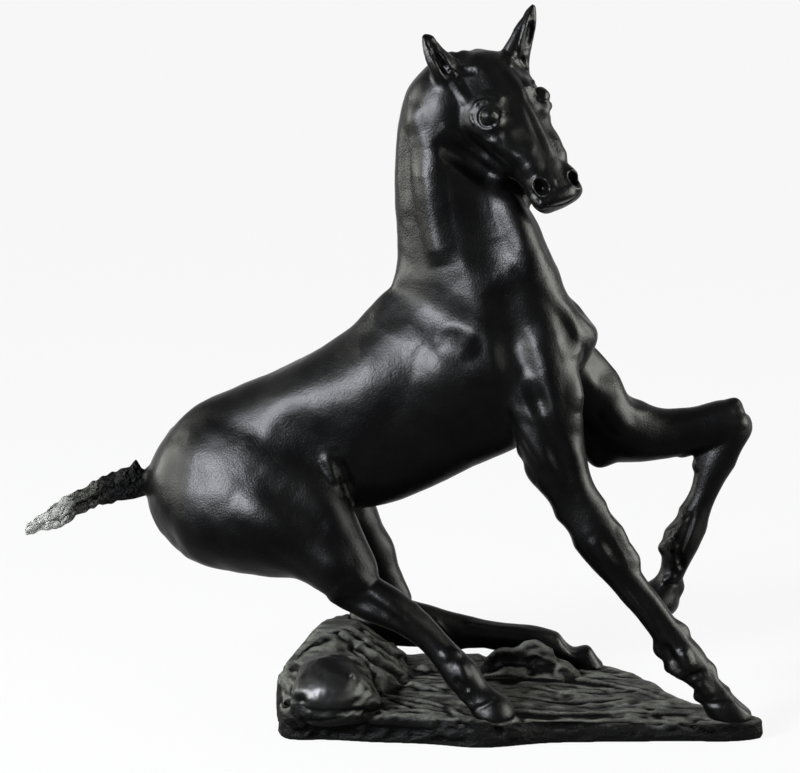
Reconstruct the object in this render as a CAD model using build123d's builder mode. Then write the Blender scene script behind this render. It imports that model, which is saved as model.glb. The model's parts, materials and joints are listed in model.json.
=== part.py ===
from build123d import *
from math import atan2, cos, degrees, radians, sin, tan
import os

os.makedirs("parts", exist_ok=True)

# A foal that rises from a rocky ground: a small hollow bronze, cast in sections, sleeved, pinned and
# chased. +X runs from the tail to the point of the base, the side that shows looks along -Y, and +Z is up.
# The origin is on the ground under the middle of the whole figure.

# The whole figure
figure_length = 445.0
figure_width = 150.0
figure_height = 430.0

# The foal: widths run across it and depths from its back to its belly
barrel_width = 78.0
barrel_depth = 110.0
neck_width = 64.0
neck_depth = 107.0
head_width = 56.0
head_depth = 54.0
eye_diameter = 16.0
nostril_diameter = 6.0
ear_width = 20.0
ear_depth = 12.0
foreleg_width = 34.0
foreleg_depth = 56.0
hindleg_width = 52.0
hindleg_depth = 100.0
tail_thickness = 8.0
tail_depth = 17.0

# The rocky ground
ground_high = 20.0
ground_low = 11.0
crag_height = 50.0
boulder_length = 58.0
boulder_diameter = 35.0
mound_length = 74.0
mound_diameter = 37.0
base_wall = 4.0

# The castings and their joints
bronze_wall = 5.0
sleeve_wall = 3.0
sleeve_length = 14.0
sleeve_clearance = 0.3
peg_diameter = 12.0
peg_length = 14.0
small_peg_diameter = 4.0
small_peg_length = 7.0
peg_clearance = 0.2
pin_diameter = 4.0
small_pin_diameter = 1.6
pin_clearance = 0.1
pin_cover = 1.5
plug_diameter = 8.0

# The studs that hold the hooves, with their washers and nuts
stud_diameter = 5.0
stud_grip = 9.0
stud_tail = 1.0
stud_clearance = 0.25
thread_clearance = 0.1
washer_diameter = 10.0
washer_thickness = 1.0
nut_across_flats = 8.0
nut_height = 4.0

# What cuts run past the surfaces that they leave
overrun = 2.0

# Stations along each form, nose or hoof last. A row is a place, as shares of the figure's length, width
# and height, then the half width as a share of the form's width, the rise towards the back and the fall
# towards the belly as shares of its depth, and the turn of its left side from +Y towards +X, in degrees.
trunk_shares = [
    (-0.333, 0.053, 0.321, 0.10, 0.10, 0.11, 5),
    (-0.322, 0.053, 0.322, 0.26, 0.18, 0.22, 5),
    (-0.293, 0.047, 0.327, 0.40, 0.29, 0.39, 5),
    (-0.242, 0.033, 0.341, 0.47, 0.395, 0.48, 6),
    (-0.178, 0.013, 0.364, 0.50, 0.435, 0.455, 8),
    (-0.115, -0.013, 0.396, 0.47, 0.43, 0.435, 10),
    (-0.055, -0.040, 0.427, 0.46, 0.43, 0.50, 12),
    (0.004, -0.067, 0.460, 0.47, 0.465, 0.52, 14),
    (0.063, -0.093, 0.495, 0.47, 0.53, 0.535, 16),
    (0.127, -0.120, 0.528, 0.46, 0.51, 0.53, 18),
    (0.182, -0.147, 0.549, 0.42, 0.345, 0.455, 20),
    (0.229, -0.173, 0.550, 0.33, 0.235, 0.365, 20),
    (0.258, -0.187, 0.541, 0.18, 0.13, 0.22, 20),
    (0.268, -0.193, 0.535, 0.08, 0.065, 0.11, 20),
]
neck_shares = [
    (0.169, -0.147, 0.529, 0.44, 0.58, 0.355, 20),
    (0.141, -0.147, 0.590, 0.50, 0.65, 0.41, 20),
    (0.113, -0.140, 0.650, 0.455, 0.53, 0.42, 22),
    (0.097, -0.133, 0.704, 0.405, 0.425, 0.37, 25),
    (0.078, -0.120, 0.759, 0.375, 0.355, 0.30, 30),
    (0.065, -0.107, 0.806, 0.36, 0.28, 0.25, 36),
    (0.062, -0.100, 0.850, 0.36, 0.245, 0.235, 42),
    (0.078, -0.100, 0.885, 0.345, 0.225, 0.225, 48),
    (0.099, -0.107, 0.908, 0.28, 0.17, 0.19, 50),
]
head_shares = [
    (0.096, -0.067, 0.927, 0.18, 0.15, 0.22, 50),
    (0.107, -0.087, 0.914, 0.36, 0.30, 0.37, 50),
    (0.121, -0.113, 0.895, 0.45, 0.37, 0.52, 50),
    (0.137, -0.140, 0.872, 0.50, 0.37, 0.61, 50),
    (0.153, -0.180, 0.847, 0.50, 0.35, 0.59, 50),
    (0.171, -0.220, 0.821, 0.41, 0.28, 0.48, 50),
    (0.189, -0.253, 0.797, 0.31, 0.23, 0.35, 50),
    (0.202, -0.287, 0.774, 0.28, 0.20, 0.29, 50),
    (0.212, -0.307, 0.757, 0.295, 0.195, 0.30, 50),
    (0.220, -0.327, 0.741, 0.22, 0.15, 0.22, 50),
]
head_roll = 13
right_ear_shares = [
    (0.088, -0.180, 0.880, 0.42, 0.50, 0.50, 50),
    (0.077, -0.190, 0.901, 0.50, 0.54, 0.54, 50),
    (0.065, -0.200, 0.923, 0.49, 0.48, 0.48, 50),
    (0.052, -0.207, 0.943, 0.38, 0.34, 0.34, 50),
    (0.041, -0.213, 0.961, 0.10, 0.12, 0.12, 50),
]
left_ear_shares = [
    (0.156, -0.060, 0.893, 0.52, 0.58, 0.58, 50),
    (0.158, -0.053, 0.914, 0.55, 0.58, 0.58, 50),
    (0.164, -0.053, 0.941, 0.50, 0.48, 0.48, 50),
    (0.175, -0.053, 0.971, 0.36, 0.37, 0.37, 50),
    (0.185, -0.053, 0.997, 0.09, 0.12, 0.12, 50),
]
right_foreleg_shares = [
    (0.141, -0.253, 0.573, 0.35, 0.39, 0.39, 18),
    (0.167, -0.280, 0.533, 0.44, 0.50, 0.50, 18),
    (0.191, -0.300, 0.486, 0.50, 0.43, 0.43, 16),
    (0.207, -0.307, 0.431, 0.47, 0.36, 0.39, 14),
    (0.223, -0.307, 0.367, 0.38, 0.30, 0.30, 12),
    (0.247, -0.313, 0.324, 0.33, 0.265, 0.29, 12),
    (0.280, -0.320, 0.274, 0.38, 0.25, 0.28, 12),
    (0.305, -0.320, 0.233, 0.28, 0.18, 0.215, 12),
    (0.340, -0.327, 0.183, 0.235, 0.165, 0.165, 12),
    (0.371, -0.327, 0.138, 0.265, 0.18, 0.18, 12),
    (0.394, -0.333, 0.106, 0.31, 0.195, 0.215, 12),
    (0.416, -0.333, 0.079, 0.235, 0.145, 0.145, 12),
    (0.431, -0.333, 0.057, 0.295, 0.17, 0.17, 12),
    (0.446, -0.333, 0.040, 0.35, 0.215, 0.215, 12),
    (0.455, -0.337, 0.022, 0.35, 0.215, 0.215, 12),
    (0.460, -0.337, 0.005, 0.35, 0.20, 0.20, 12),
]
left_forearm_shares = [
    (0.205, 0.013, 0.492, 0.35, 0.43, 0.43, 20),
    (0.250, 0.040, 0.462, 0.53, 0.50, 0.465, 20),
    (0.297, 0.060, 0.415, 0.50, 0.41, 0.45, 20),
    (0.350, 0.080, 0.401, 0.41, 0.31, 0.31, 20),
    (0.398, 0.093, 0.403, 0.35, 0.25, 0.26, 20),
    (0.435, 0.100, 0.408, 0.38, 0.275, 0.25, 20),
    (0.465, 0.100, 0.414, 0.32, 0.26, 0.23, 20),
    (0.481, 0.100, 0.417, 0.15, 0.125, 0.125, 20),
]
left_cannon_shares = [
    (0.466, 0.100, 0.429, 0.265, 0.145, 0.145, 20),
    (0.463, 0.100, 0.406, 0.37, 0.215, 0.215, 20),
    (0.444, 0.100, 0.368, 0.32, 0.23, 0.23, 20),
    (0.430, 0.093, 0.329, 0.25, 0.16, 0.17, 20),
    (0.413, 0.087, 0.286, 0.235, 0.165, 0.165, 20),
    (0.393, 0.080, 0.242, 0.295, 0.205, 0.205, 20),
    (0.385, 0.080, 0.207, 0.235, 0.145, 0.145, 20),
    (0.377, 0.087, 0.183, 0.295, 0.15, 0.16, 20),
    (0.371, 0.100, 0.139, 0.25, 0.12, 0.14, 20),
]
right_thigh_shares = [
    (-0.291, -0.040, 0.333, 0.31, 0.26, 0.36, 8),
    (-0.240, -0.080, 0.339, 0.48, 0.42, 0.53, 8),
    (-0.176, -0.133, 0.329, 0.50, 0.43, 0.51, 8),
    (-0.120, -0.187, 0.296, 0.42, 0.34, 0.42, 8),
    (-0.083, -0.227, 0.257, 0.35, 0.23, 0.28, 8),
    (-0.057, -0.260, 0.217, 0.29, 0.19, 0.18, 10),
    (-0.041, -0.273, 0.194, 0.15, 0.10, 0.10, 10),
]
right_hock_shares = [
    (-0.076, -0.253, 0.219, 0.15, 0.08, 0.08, 10),
    (-0.057, -0.260, 0.207, 0.25, 0.16, 0.14, 10),
    (-0.020, -0.287, 0.188, 0.21, 0.13, 0.13, 10),
    (0.033, -0.327, 0.156, 0.18, 0.097, 0.097, 12),
    (0.069, -0.360, 0.119, 0.17, 0.09, 0.09, 12),
    (0.096, -0.387, 0.088, 0.20, 0.105, 0.105, 12),
    (0.112, -0.400, 0.068, 0.17, 0.09, 0.09, 12),
    (0.130, -0.413, 0.047, 0.23, 0.12, 0.12, 12),
    (0.137, -0.417, 0.027, 0.23, 0.12, 0.12, 12),
    (0.142, -0.417, 0.009, 0.21, 0.11, 0.11, 12),
]
left_thigh_shares = [
    (-0.294, 0.093, 0.323, 0.31, 0.24, 0.26, 4),
    (-0.244, 0.133, 0.329, 0.46, 0.38, 0.40, 4),
    (-0.177, 0.187, 0.317, 0.46, 0.38, 0.40, 4),
    (-0.108, 0.227, 0.296, 0.385, 0.32, 0.32, 4),
    (-0.052, 0.260, 0.261, 0.31, 0.16, 0.22, 4),
    (-0.025, 0.280, 0.208, 0.24, 0.11, 0.14, 4),
    (-0.014, 0.293, 0.155, 0.23, 0.15, 0.14, 4),
    (-0.019, 0.307, 0.106, 0.23, 0.13, 0.14, 4),
    (-0.024, 0.307, 0.088, 0.115, 0.07, 0.07, 4),
]
left_hock_shares = [
    (-0.058, 0.307, 0.100, 0.135, 0.08, 0.08, 4),
    (-0.030, 0.307, 0.108, 0.23, 0.15, 0.14, 4),
    (0.023, 0.313, 0.108, 0.20, 0.13, 0.17, 4),
    (0.080, 0.327, 0.094, 0.18, 0.11, 0.125, 4),
    (0.136, 0.340, 0.084, 0.165, 0.09, 0.085, 4),
    (0.193, 0.353, 0.075, 0.17, 0.095, 0.09, 4),
    (0.225, 0.360, 0.064, 0.19, 0.10, 0.10, 4),
    (0.251, 0.367, 0.050, 0.17, 0.085, 0.08, 4),
    (0.274, 0.373, 0.033, 0.19, 0.09, 0.09, 4),
    (0.284, 0.377, 0.018, 0.17, 0.08, 0.08, 4),
]
tail_shares = [
    (-0.318, 0.060, 0.330, 0.50, 0.47, 0.47, 4),
    (-0.345, 0.060, 0.333, 0.50, 0.50, 0.50, 4),
    (-0.383, 0.053, 0.325, 0.50, 0.47, 0.47, 4),
    (-0.421, 0.047, 0.307, 0.44, 0.41, 0.41, 4),
    (-0.461, 0.040, 0.283, 0.44, 0.44, 0.44, 4),
    (-0.498, 0.033, 0.263, 0.25, 0.18, 0.18, 4),
]

# The eyes and nostrils: a station of the head, then how far out along the half width and up the rise
eye_station = 4
eye_out_share = 0.64
eye_up_share = 0.46
nostril_station = 8
nostril_out_share = 0.62
nostril_up_share = 0.80

# The station at which each form is cut into castings
loin_station = 6
neck_station = 2
throat_station = 5
right_foreleg_station = 4
left_foreleg_station = 3
right_hindleg_station = 4
left_hindleg_station = 5
ear_station = 2
tail_station = 1

# The first and last stations of the hollows of the rump, the breast and the head
rump_hollow_station = 2
breast_hollow_station = 11
head_hollow_stations = (1, 6)

# The stations of the trunk under which the core's pins stood: two in the rump, two in the breast
rump_plug_stations = (3, 5)
breast_plug_stations = (8, 10)

# The throat joint slopes from the crest down to the chin, so that it passes under the jaw
throat_slope = 35

# Where each standing hoof's stud comes up, as shares of the figure's length and width
right_foreleg_stud_shares = (0.449, -0.335)
right_hindleg_stud_shares = (0.132, -0.414)
left_hindleg_stud_shares = (0.270, 0.371)

# The base's outline on the ground, from its left front corner round by the point, as shares of the
# figure's length and width
ground_shares = [
    (-0.150, -0.340),
    (-0.142, -0.375),
    (-0.097, -0.388),
    (-0.043, -0.413),
    (0.009, -0.432),
    (0.063, -0.460),
    (0.115, -0.498),
    (0.142, -0.487),
    (0.195, -0.440),
    (0.250, -0.420),
    (0.300, -0.415),
    (0.410, -0.410),
    (0.472, -0.395),
    (0.494, -0.350),
    (0.470, -0.270),
    (0.404, -0.120),
    (0.382, -0.010),
    (0.360, 0.215),
    (0.326, 0.350),
    (0.283, 0.447),
    (0.200, 0.480),
    (0.100, 0.493),
    (-0.010, 0.493),
    (-0.085, 0.480),
    (-0.130, 0.390),
    (-0.153, 0.215),
    (-0.160, 0.000),
    (-0.157, -0.190),
]

# The crag's outline at rising levels, each level a share of the crag's height
crag_levels_shares = [
    (0.10, [(-0.150, -0.20), (-0.125, -0.31), (-0.045, -0.27), (0.015, -0.07), (0.034, 0.17), (0.018, 0.39),
            (-0.045, 0.45), (-0.110, 0.41), (-0.148, 0.24), (-0.156, 0.00)]),
    (0.55, [(-0.147, -0.15), (-0.118, -0.22), (-0.054, -0.19), (-0.007, 0.00), (0.010, 0.19), (-0.003, 0.36),
            (-0.050, 0.41), (-0.102, 0.37), (-0.135, 0.22), (-0.147, 0.02)]),
    (0.84, [(-0.120, -0.02), (-0.103, -0.06), (-0.068, -0.03), (-0.040, 0.08), (-0.025, 0.20), (-0.030, 0.32),
            (-0.058, 0.37), (-0.092, 0.34), (-0.112, 0.22), (-0.120, 0.09)]),
    (1.00, [(-0.098, 0.10), (-0.088, 0.07), (-0.073, 0.09), (-0.060, 0.14), (-0.052, 0.21), (-0.052, 0.28),
            (-0.064, 0.32), (-0.082, 0.30), (-0.092, 0.24), (-0.098, 0.17)]),
]

# The middles of the boulder and the mound, as shares of the figure's length and width and of the ground's
# height at its high end
boulder_shares = (-0.078, -0.370, 1.30)
mound_shares = (0.180, 0.225, 0.50)

# The ground's slope from its high end to its point
high_end = min(along for along, across in ground_shares) * figure_length
point_end = max(along for along, across in ground_shares) * figure_length
ground_slope = degrees(atan2(ground_high - ground_low, point_end - high_end))
ground_normal = Vector(sin(radians(ground_slope)), 0, cos(radians(ground_slope)))


def ground_plane(along, across, depth=0):
    """The plane of the ground's top at a place, its Z square to the slope, or a depth under it."""
    fallen = (along - high_end) * tan(radians(ground_slope))
    down_slope = Vector(cos(radians(ground_slope)), 0, -sin(radians(ground_slope)))
    return Plane(Vector(along, across, ground_high - fallen), down_slope, ground_normal).offset(-depth)


def station_planes(stations, roll=0):
    """A plane at each station, square to the form's path, its X to the foal's left, its Y to the back."""
    places = [Vector(row[0] * figure_length, row[1] * figure_width, row[2] * figure_height) for row in stations]
    runs = [(after - before).normalized() for before, after in zip(places, places[1:])]
    headings = [runs[0]]
    headings += [(before + after).normalized() for before, after in zip(runs, runs[1:])]
    headings += [runs[-1]]
    planes = []
    for place, heading, row in zip(places, headings, stations):
        turn = radians(row[6])
        tilt = radians(roll)
        side = Vector(sin(turn) * cos(tilt), cos(turn) * cos(tilt), sin(tilt))
        side = side - heading * side.dot(heading)
        planes.append(Plane(place, side, heading))
    return planes


def reaches(row, width, depth, inset=0):
    """A station's half width, rise and fall, or those of the surface that lies an inset inside it."""
    return row[3] * width - inset, row[4] * depth - inset, row[5] * depth - inset


def ring(plane, half_width, rise, fall):
    """A section like an egg: half an ellipse towards the back and another towards the belly."""
    with BuildSketch(plane) as section:
        with BuildLine():
            EllipticalCenterArc((0, 0), half_width, rise, start_angle=0, arc_size=180)
            EllipticalCenterArc((0, 0), half_width, fall, start_angle=180, arc_size=180)
        make_face()
    return section.sketch


def rings(stations, width, depth, roll=0, inset=0, first=0, last=None):
    """The sections of a form from its first to its last station, or those of a hollow inside it."""
    planes = station_planes(stations, roll)
    last = len(stations) - 1 if last is None else last
    return [
        ring(planes[index], *reaches(stations[index], width, depth, inset))
        for index in range(first, last + 1)
    ]


def trunk_rings(**options):
    return rings(trunk_shares, barrel_width, barrel_depth, **options)


def neck_rings(**options):
    return rings(neck_shares, neck_width, neck_depth, **options)


def head_rings(**options):
    return rings(head_shares, head_width, head_depth, roll=head_roll, **options)


def side_place(plane, row, width, depth, out_share, up_share):
    """A place on a section, out towards the foal's left and up towards its back."""
    half_width, rise, fall = reaches(row, width, depth)
    return plane.from_local_coords(Vector(out_share * half_width, up_share * rise, 0))


# The planes of the joints, each at its station
trunk_planes = station_planes(trunk_shares)
neck_planes = station_planes(neck_shares)
head_planes = station_planes(head_shares, head_roll)
loin_plane = trunk_planes[loin_station]
neck_plane = neck_planes[neck_station]
throat_normal = Vector(sin(radians(throat_slope)), 0, cos(radians(throat_slope)))
throat_plane = Plane(neck_planes[throat_station].origin, (0, 1, 0), throat_normal)
right_foreleg_plane = station_planes(right_foreleg_shares)[right_foreleg_station]
left_foreleg_plane = station_planes(left_forearm_shares)[left_foreleg_station]
right_hindleg_plane = station_planes(right_thigh_shares)[right_hindleg_station]
left_hindleg_plane = station_planes(left_thigh_shares)[left_hindleg_station]
right_ear_plane = station_planes(right_ear_shares)[ear_station]
left_ear_plane = station_planes(left_ear_shares)[ear_station]
tail_plane = station_planes(tail_shares)[tail_station]

# Each limb's whole form, before it is cut at its joint
with BuildPart() as right_foreleg_form:
    loft(rings(right_foreleg_shares, foreleg_width, foreleg_depth))

with BuildPart() as left_foreleg_form:
    loft(rings(left_forearm_shares, foreleg_width, foreleg_depth))
    loft(rings(left_cannon_shares, foreleg_width, foreleg_depth))

with BuildPart() as right_hindleg_form:
    loft(rings(right_thigh_shares, hindleg_width, hindleg_depth))
    loft(rings(right_hock_shares, hindleg_width, hindleg_depth))

with BuildPart() as left_hindleg_form:
    loft(rings(left_thigh_shares, hindleg_width, hindleg_depth))
    loft(rings(left_hock_shares, hindleg_width, hindleg_depth))

with BuildPart() as right_ear_form:
    loft(rings(right_ear_shares, ear_width, ear_depth))

with BuildPart() as left_ear_form:
    loft(rings(left_ear_shares, ear_width, ear_depth))

with BuildPart() as tail_form:
    loft(rings(tail_shares, tail_thickness, tail_depth))


def stub(form, plane):
    """The part of a limb's form that is cast with the body, up to its joint."""
    return split(form.part, bisect_by=plane, keep=Keep.BOTTOM, mode=Mode.PRIVATE)


# The foal's whole form, solid, with each limb up to its joint
with BuildPart() as foal_form:
    loft(trunk_rings())
    loft(neck_rings())
    loft(head_rings())
    for side in (-1, 1):
        eye = side_place(head_planes[eye_station], head_shares[eye_station], head_width, head_depth,
                         side * eye_out_share, eye_up_share)
        with Locations(eye):
            Sphere(radius=eye_diameter / 2)
    add(stub(right_foreleg_form, right_foreleg_plane))
    add(stub(left_foreleg_form, left_foreleg_plane))
    add(stub(right_hindleg_form, right_hindleg_plane))
    add(stub(left_hindleg_form, left_hindleg_plane))
    add(stub(right_ear_form, right_ear_plane))
    add(stub(left_ear_form, left_ear_plane))
    add(stub(tail_form, tail_plane))


def clipped(form, plane, over, under):
    """The slice of a form that reaches over its joint's plane and under it."""
    upper = split(form, bisect_by=plane.offset(over), keep=Keep.BOTTOM, mode=Mode.PRIVATE)
    return split(upper, bisect_by=plane.offset(-under), keep=Keep.TOP, mode=Mode.PRIVATE)


# How far a sleeve's outside and its bore lie inside the skin
sleeve_inset = bronze_wall + sleeve_clearance
bore_inset = sleeve_inset + sleeve_wall

# The sleeves, solid: each follows the hollow that it slides into
with BuildPart() as loin_sleeve:
    loft(trunk_rings(inset=sleeve_inset, first=loin_station - 1, last=loin_station + 1))

with BuildPart() as neck_sleeve:
    loft(neck_rings(inset=sleeve_inset, first=neck_station - 1, last=neck_station + 1))

with BuildPart() as throat_sleeve:
    loft(neck_rings(inset=sleeve_inset, first=throat_station - 1, last=throat_station + 2))


def body_pins(plane, row, width, depth, towards):
    """The two places of a sleeved joint's pins, on the flanks, half a sleeve's length from the joint."""
    half_width, rise, fall = reaches(row, width, depth)
    middle = plane.offset(towards * sleeve_length / 2)
    length = bore_inset - pin_cover + overrun
    for side in (-1, 1):
        start = middle.from_local_coords(Vector(side * (half_width - pin_cover), 0, 0))
        yield Plane(start, plane.z_dir, plane.x_dir * -side), length


def across_pin(plane, back):
    """The plane of a limb's pin: across the limb, a step back from its joint into the body."""
    return Plane(plane.offset(-back).origin, plane.z_dir, plane.x_dir)


loin_pins = list(body_pins(loin_plane, trunk_shares[loin_station], barrel_width, barrel_depth, 1))
neck_pins = list(body_pins(neck_plane, neck_shares[neck_station], neck_width, neck_depth, -1))
throat_pins = list(body_pins(neck_planes[throat_station].offset(sleeve_length), neck_shares[throat_station],
                             neck_width, neck_depth, 1))


def reach_of(stations, station, width, depth):
    """The half length of a limb's pin: the limb's half width less the cover."""
    return reaches(stations[station], width, depth)[0] - pin_cover


leg_pins = [
    (across_pin(right_foreleg_plane, peg_length / 2),
     reach_of(right_foreleg_shares, right_foreleg_station, foreleg_width, foreleg_depth)),
    (across_pin(left_foreleg_plane, peg_length / 2),
     reach_of(left_forearm_shares, left_foreleg_station, foreleg_width, foreleg_depth)),
    (across_pin(right_hindleg_plane, peg_length / 2),
     reach_of(right_thigh_shares, right_hindleg_station, hindleg_width, hindleg_depth)),
    (across_pin(left_hindleg_plane, peg_length / 2),
     reach_of(left_thigh_shares, left_hindleg_station, hindleg_width, hindleg_depth)),
]
small_pins = [
    (across_pin(right_ear_plane, small_peg_length / 2),
     reach_of(right_ear_shares, ear_station, ear_width, ear_depth)),
    (across_pin(left_ear_plane, small_peg_length / 2),
     reach_of(left_ear_shares, ear_station, ear_width, ear_depth)),
]
tail_pin = (across_pin(tail_plane, small_peg_length / 2),
            reach_of(tail_shares, tail_station, tail_thickness, tail_depth))


def drill_body_pins(pins):
    """The holes of a sleeved joint's pins, through the skin's inner part and the sleeve."""
    for plane, length in pins:
        with Locations(plane):
            Cylinder(radius=pin_diameter / 2 + pin_clearance, height=length, mode=Mode.SUBTRACT,
                     align=(Align.CENTER, Align.CENTER, Align.MIN))


def drill_across(plane, reach, diameter):
    """The hole of a limb's pin, right across the joint's socket and peg."""
    with Locations(plane):
        Cylinder(radius=diameter / 2 + pin_clearance, height=2 * (reach + pin_clearance), mode=Mode.SUBTRACT)


def socket(plane, diameter, length):
    """The blind hole that a limb's peg stands in, back from the joint into the body."""
    with Locations(plane.offset(-length - peg_clearance)):
        Cylinder(radius=diameter / 2 + peg_clearance, height=length + peg_clearance + overrun,
                 align=(Align.CENTER, Align.CENTER, Align.MIN), mode=Mode.SUBTRACT)


def peg(plane, diameter, length):
    """The peg that a limb's casting carries, back from the joint into the body."""
    with Locations(plane.offset(-length)):
        Cylinder(radius=diameter / 2, height=length + overrun, align=(Align.CENTER, Align.CENTER, Align.MIN))


def plug_plane(station):
    """Where a plug starts, under its cover in the middle of the belly, its Z into the hollow."""
    plane = trunk_planes[station]
    fall = reaches(trunk_shares[station], barrel_width, barrel_depth)[2]
    return Plane(plane.from_local_coords(Vector(0, pin_cover - fall, 0)), plane.x_dir, plane.y_dir)


def drill_plug(station):
    """The hole of a plug, where the core's pin stood."""
    with Locations(plug_plane(station)):
        Cylinder(radius=plug_diameter / 2 + pin_clearance, height=bore_inset + overrun, mode=Mode.SUBTRACT,
                 align=(Align.CENTER, Align.CENTER, Align.MIN))


with BuildPart() as hindquarters_casting:
    add(foal_form.part)
    split(bisect_by=loin_plane, keep=Keep.BOTTOM)
    add(clipped(loin_sleeve.part, loin_plane, sleeve_length, sleeve_length))
    loft(trunk_rings(inset=bore_inset, first=rump_hollow_station, last=loin_station + 1), mode=Mode.SUBTRACT)
    drill_body_pins(loin_pins)
    for station in rump_plug_stations:
        drill_plug(station)
    socket(right_hindleg_plane, peg_diameter, peg_length)
    socket(left_hindleg_plane, peg_diameter, peg_length)
    socket(tail_plane, small_peg_diameter, small_peg_length)
    drill_across(*leg_pins[2], pin_diameter)
    drill_across(*leg_pins[3], pin_diameter)
    drill_across(*tail_pin, small_pin_diameter)
hindquarters_casting.part.label = "hindquarters_casting"
export_step(hindquarters_casting.part, "parts/hindquarters_casting.step")

with BuildPart() as forehand_casting:
    add(foal_form.part)
    split(bisect_by=loin_plane, keep=Keep.TOP)
    split(bisect_by=neck_plane, keep=Keep.BOTTOM)
    loft(trunk_rings(inset=bronze_wall, first=loin_station - 1, last=loin_station + 1), mode=Mode.SUBTRACT)
    loft(trunk_rings(inset=bronze_wall, first=loin_station, last=breast_hollow_station), mode=Mode.SUBTRACT)
    loft(neck_rings(inset=bronze_wall, last=neck_station), mode=Mode.SUBTRACT)
    loft(neck_rings(inset=bronze_wall, first=neck_station - 1, last=neck_station + 1), mode=Mode.SUBTRACT)
    drill_body_pins(loin_pins)
    drill_body_pins(neck_pins)
    for station in breast_plug_stations:
        drill_plug(station)
    socket(right_foreleg_plane, peg_diameter, peg_length)
    socket(left_foreleg_plane, peg_diameter, peg_length)
    drill_across(*leg_pins[0], pin_diameter)
    drill_across(*leg_pins[1], pin_diameter)
forehand_casting.part.label = "forehand_casting"
export_step(forehand_casting.part, "parts/forehand_casting.step")

with BuildPart() as neck_casting:
    add(foal_form.part)
    split(bisect_by=neck_plane, keep=Keep.TOP)
    split(bisect_by=throat_plane, keep=Keep.BOTTOM)
    add(clipped(neck_sleeve.part, neck_plane, sleeve_length, sleeve_length))
    add(clipped(throat_sleeve.part, throat_plane, sleeve_length, sleeve_length))
    loft(neck_rings(inset=bore_inset, first=neck_station - 1, last=throat_station + 2), mode=Mode.SUBTRACT)
    drill_body_pins(neck_pins)
    drill_body_pins(throat_pins)
neck_casting.part.label = "neck_casting"
export_step(neck_casting.part, "parts/neck_casting.step")

with BuildPart() as head_casting:
    add(foal_form.part)
    split(bisect_by=throat_plane, keep=Keep.TOP)
    split(bisect_by=neck_plane, keep=Keep.TOP)
    loft(neck_rings(inset=bronze_wall, first=throat_station - 1, last=throat_station + 2), mode=Mode.SUBTRACT)
    loft(head_rings(inset=bronze_wall, first=head_hollow_stations[0], last=head_hollow_stations[1]),
         mode=Mode.SUBTRACT)
    drill_body_pins(throat_pins)
    for side in (-1, 1):
        nostril = side_place(head_planes[nostril_station], head_shares[nostril_station], head_width,
                             head_depth, side * nostril_out_share, nostril_up_share)
        with Locations(nostril):
            Sphere(radius=nostril_diameter / 2, mode=Mode.SUBTRACT)
    socket(right_ear_plane, small_peg_diameter, small_peg_length)
    socket(left_ear_plane, small_peg_diameter, small_peg_length)
    for place in small_pins:
        drill_across(*place, small_pin_diameter)
head_casting.part.label = "head_casting"
export_step(head_casting.part, "parts/head_casting.step")


def limb(form, plane, diameter, length, pin, bore, seat=None):
    """A limb's casting: its form beyond the joint, its peg, and the hole of the pin that locks it."""
    with BuildPart() as casting:
        add(form.part)
        split(bisect_by=plane, keep=Keep.TOP)
        if seat is not None:
            add(seat, mode=Mode.SUBTRACT)
        peg(plane, diameter, length)
        drill_across(*pin, bore)
    return casting.part


def stood(casting, place_shares):
    """A standing leg: its hoof cut flat on the ground and drilled for its stud."""
    along, across = place_shares[0] * figure_length, place_shares[1] * figure_width
    plane = ground_plane(along, across)
    with BuildPart() as standing:
        add(casting)
        split(bisect_by=plane, keep=Keep.TOP)
        with Locations(plane):
            Cylinder(radius=stud_diameter / 2 + stud_clearance, height=2 * (stud_grip + stud_clearance),
                     mode=Mode.SUBTRACT)
    return standing.part


right_foreleg = stood(limb(right_foreleg_form, right_foreleg_plane, peg_diameter, peg_length, leg_pins[0],
                           pin_diameter), right_foreleg_stud_shares)
right_foreleg.label = "right_foreleg"
export_step(right_foreleg, "parts/right_foreleg.step")

left_foreleg = limb(left_foreleg_form, left_foreleg_plane, peg_diameter, peg_length, leg_pins[1], pin_diameter)
left_foreleg.label = "left_foreleg"
export_step(left_foreleg, "parts/left_foreleg.step")

right_hindleg = stood(limb(right_hindleg_form, right_hindleg_plane, peg_diameter, peg_length, leg_pins[2],
                           pin_diameter), right_hindleg_stud_shares)
right_hindleg.label = "right_hindleg"
export_step(right_hindleg, "parts/right_hindleg.step")

left_hindleg = stood(limb(left_hindleg_form, left_hindleg_plane, peg_diameter, peg_length, leg_pins[3],
                          pin_diameter), left_hindleg_stud_shares)
left_hindleg.label = "left_hindleg"
export_step(left_hindleg, "parts/left_hindleg.step")

right_ear = limb(right_ear_form, right_ear_plane, small_peg_diameter, small_peg_length, small_pins[0],
                 small_pin_diameter, foal_form.part)
right_ear.label = "right_ear"
export_step(right_ear, "parts/right_ear.step")

left_ear = limb(left_ear_form, left_ear_plane, small_peg_diameter, small_peg_length, small_pins[1],
                small_pin_diameter, foal_form.part)
left_ear.label = "left_ear"
export_step(left_ear, "parts/left_ear.step")

tail_casting = limb(tail_form, tail_plane, small_peg_diameter, small_peg_length, tail_pin, small_pin_diameter)
tail_casting.label = "tail_casting"
export_step(tail_casting, "parts/tail_casting.step")

with BuildPart() as body_joint_pins:
    for plane, length in loin_pins + neck_pins + throat_pins:
        with Locations(plane):
            Cylinder(radius=pin_diameter / 2, height=length, align=(Align.CENTER, Align.CENTER, Align.MIN))
body_joint_pins.part.label = "body_joint_pins"
export_step(body_joint_pins.part, "parts/body_joint_pins.step")

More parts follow.
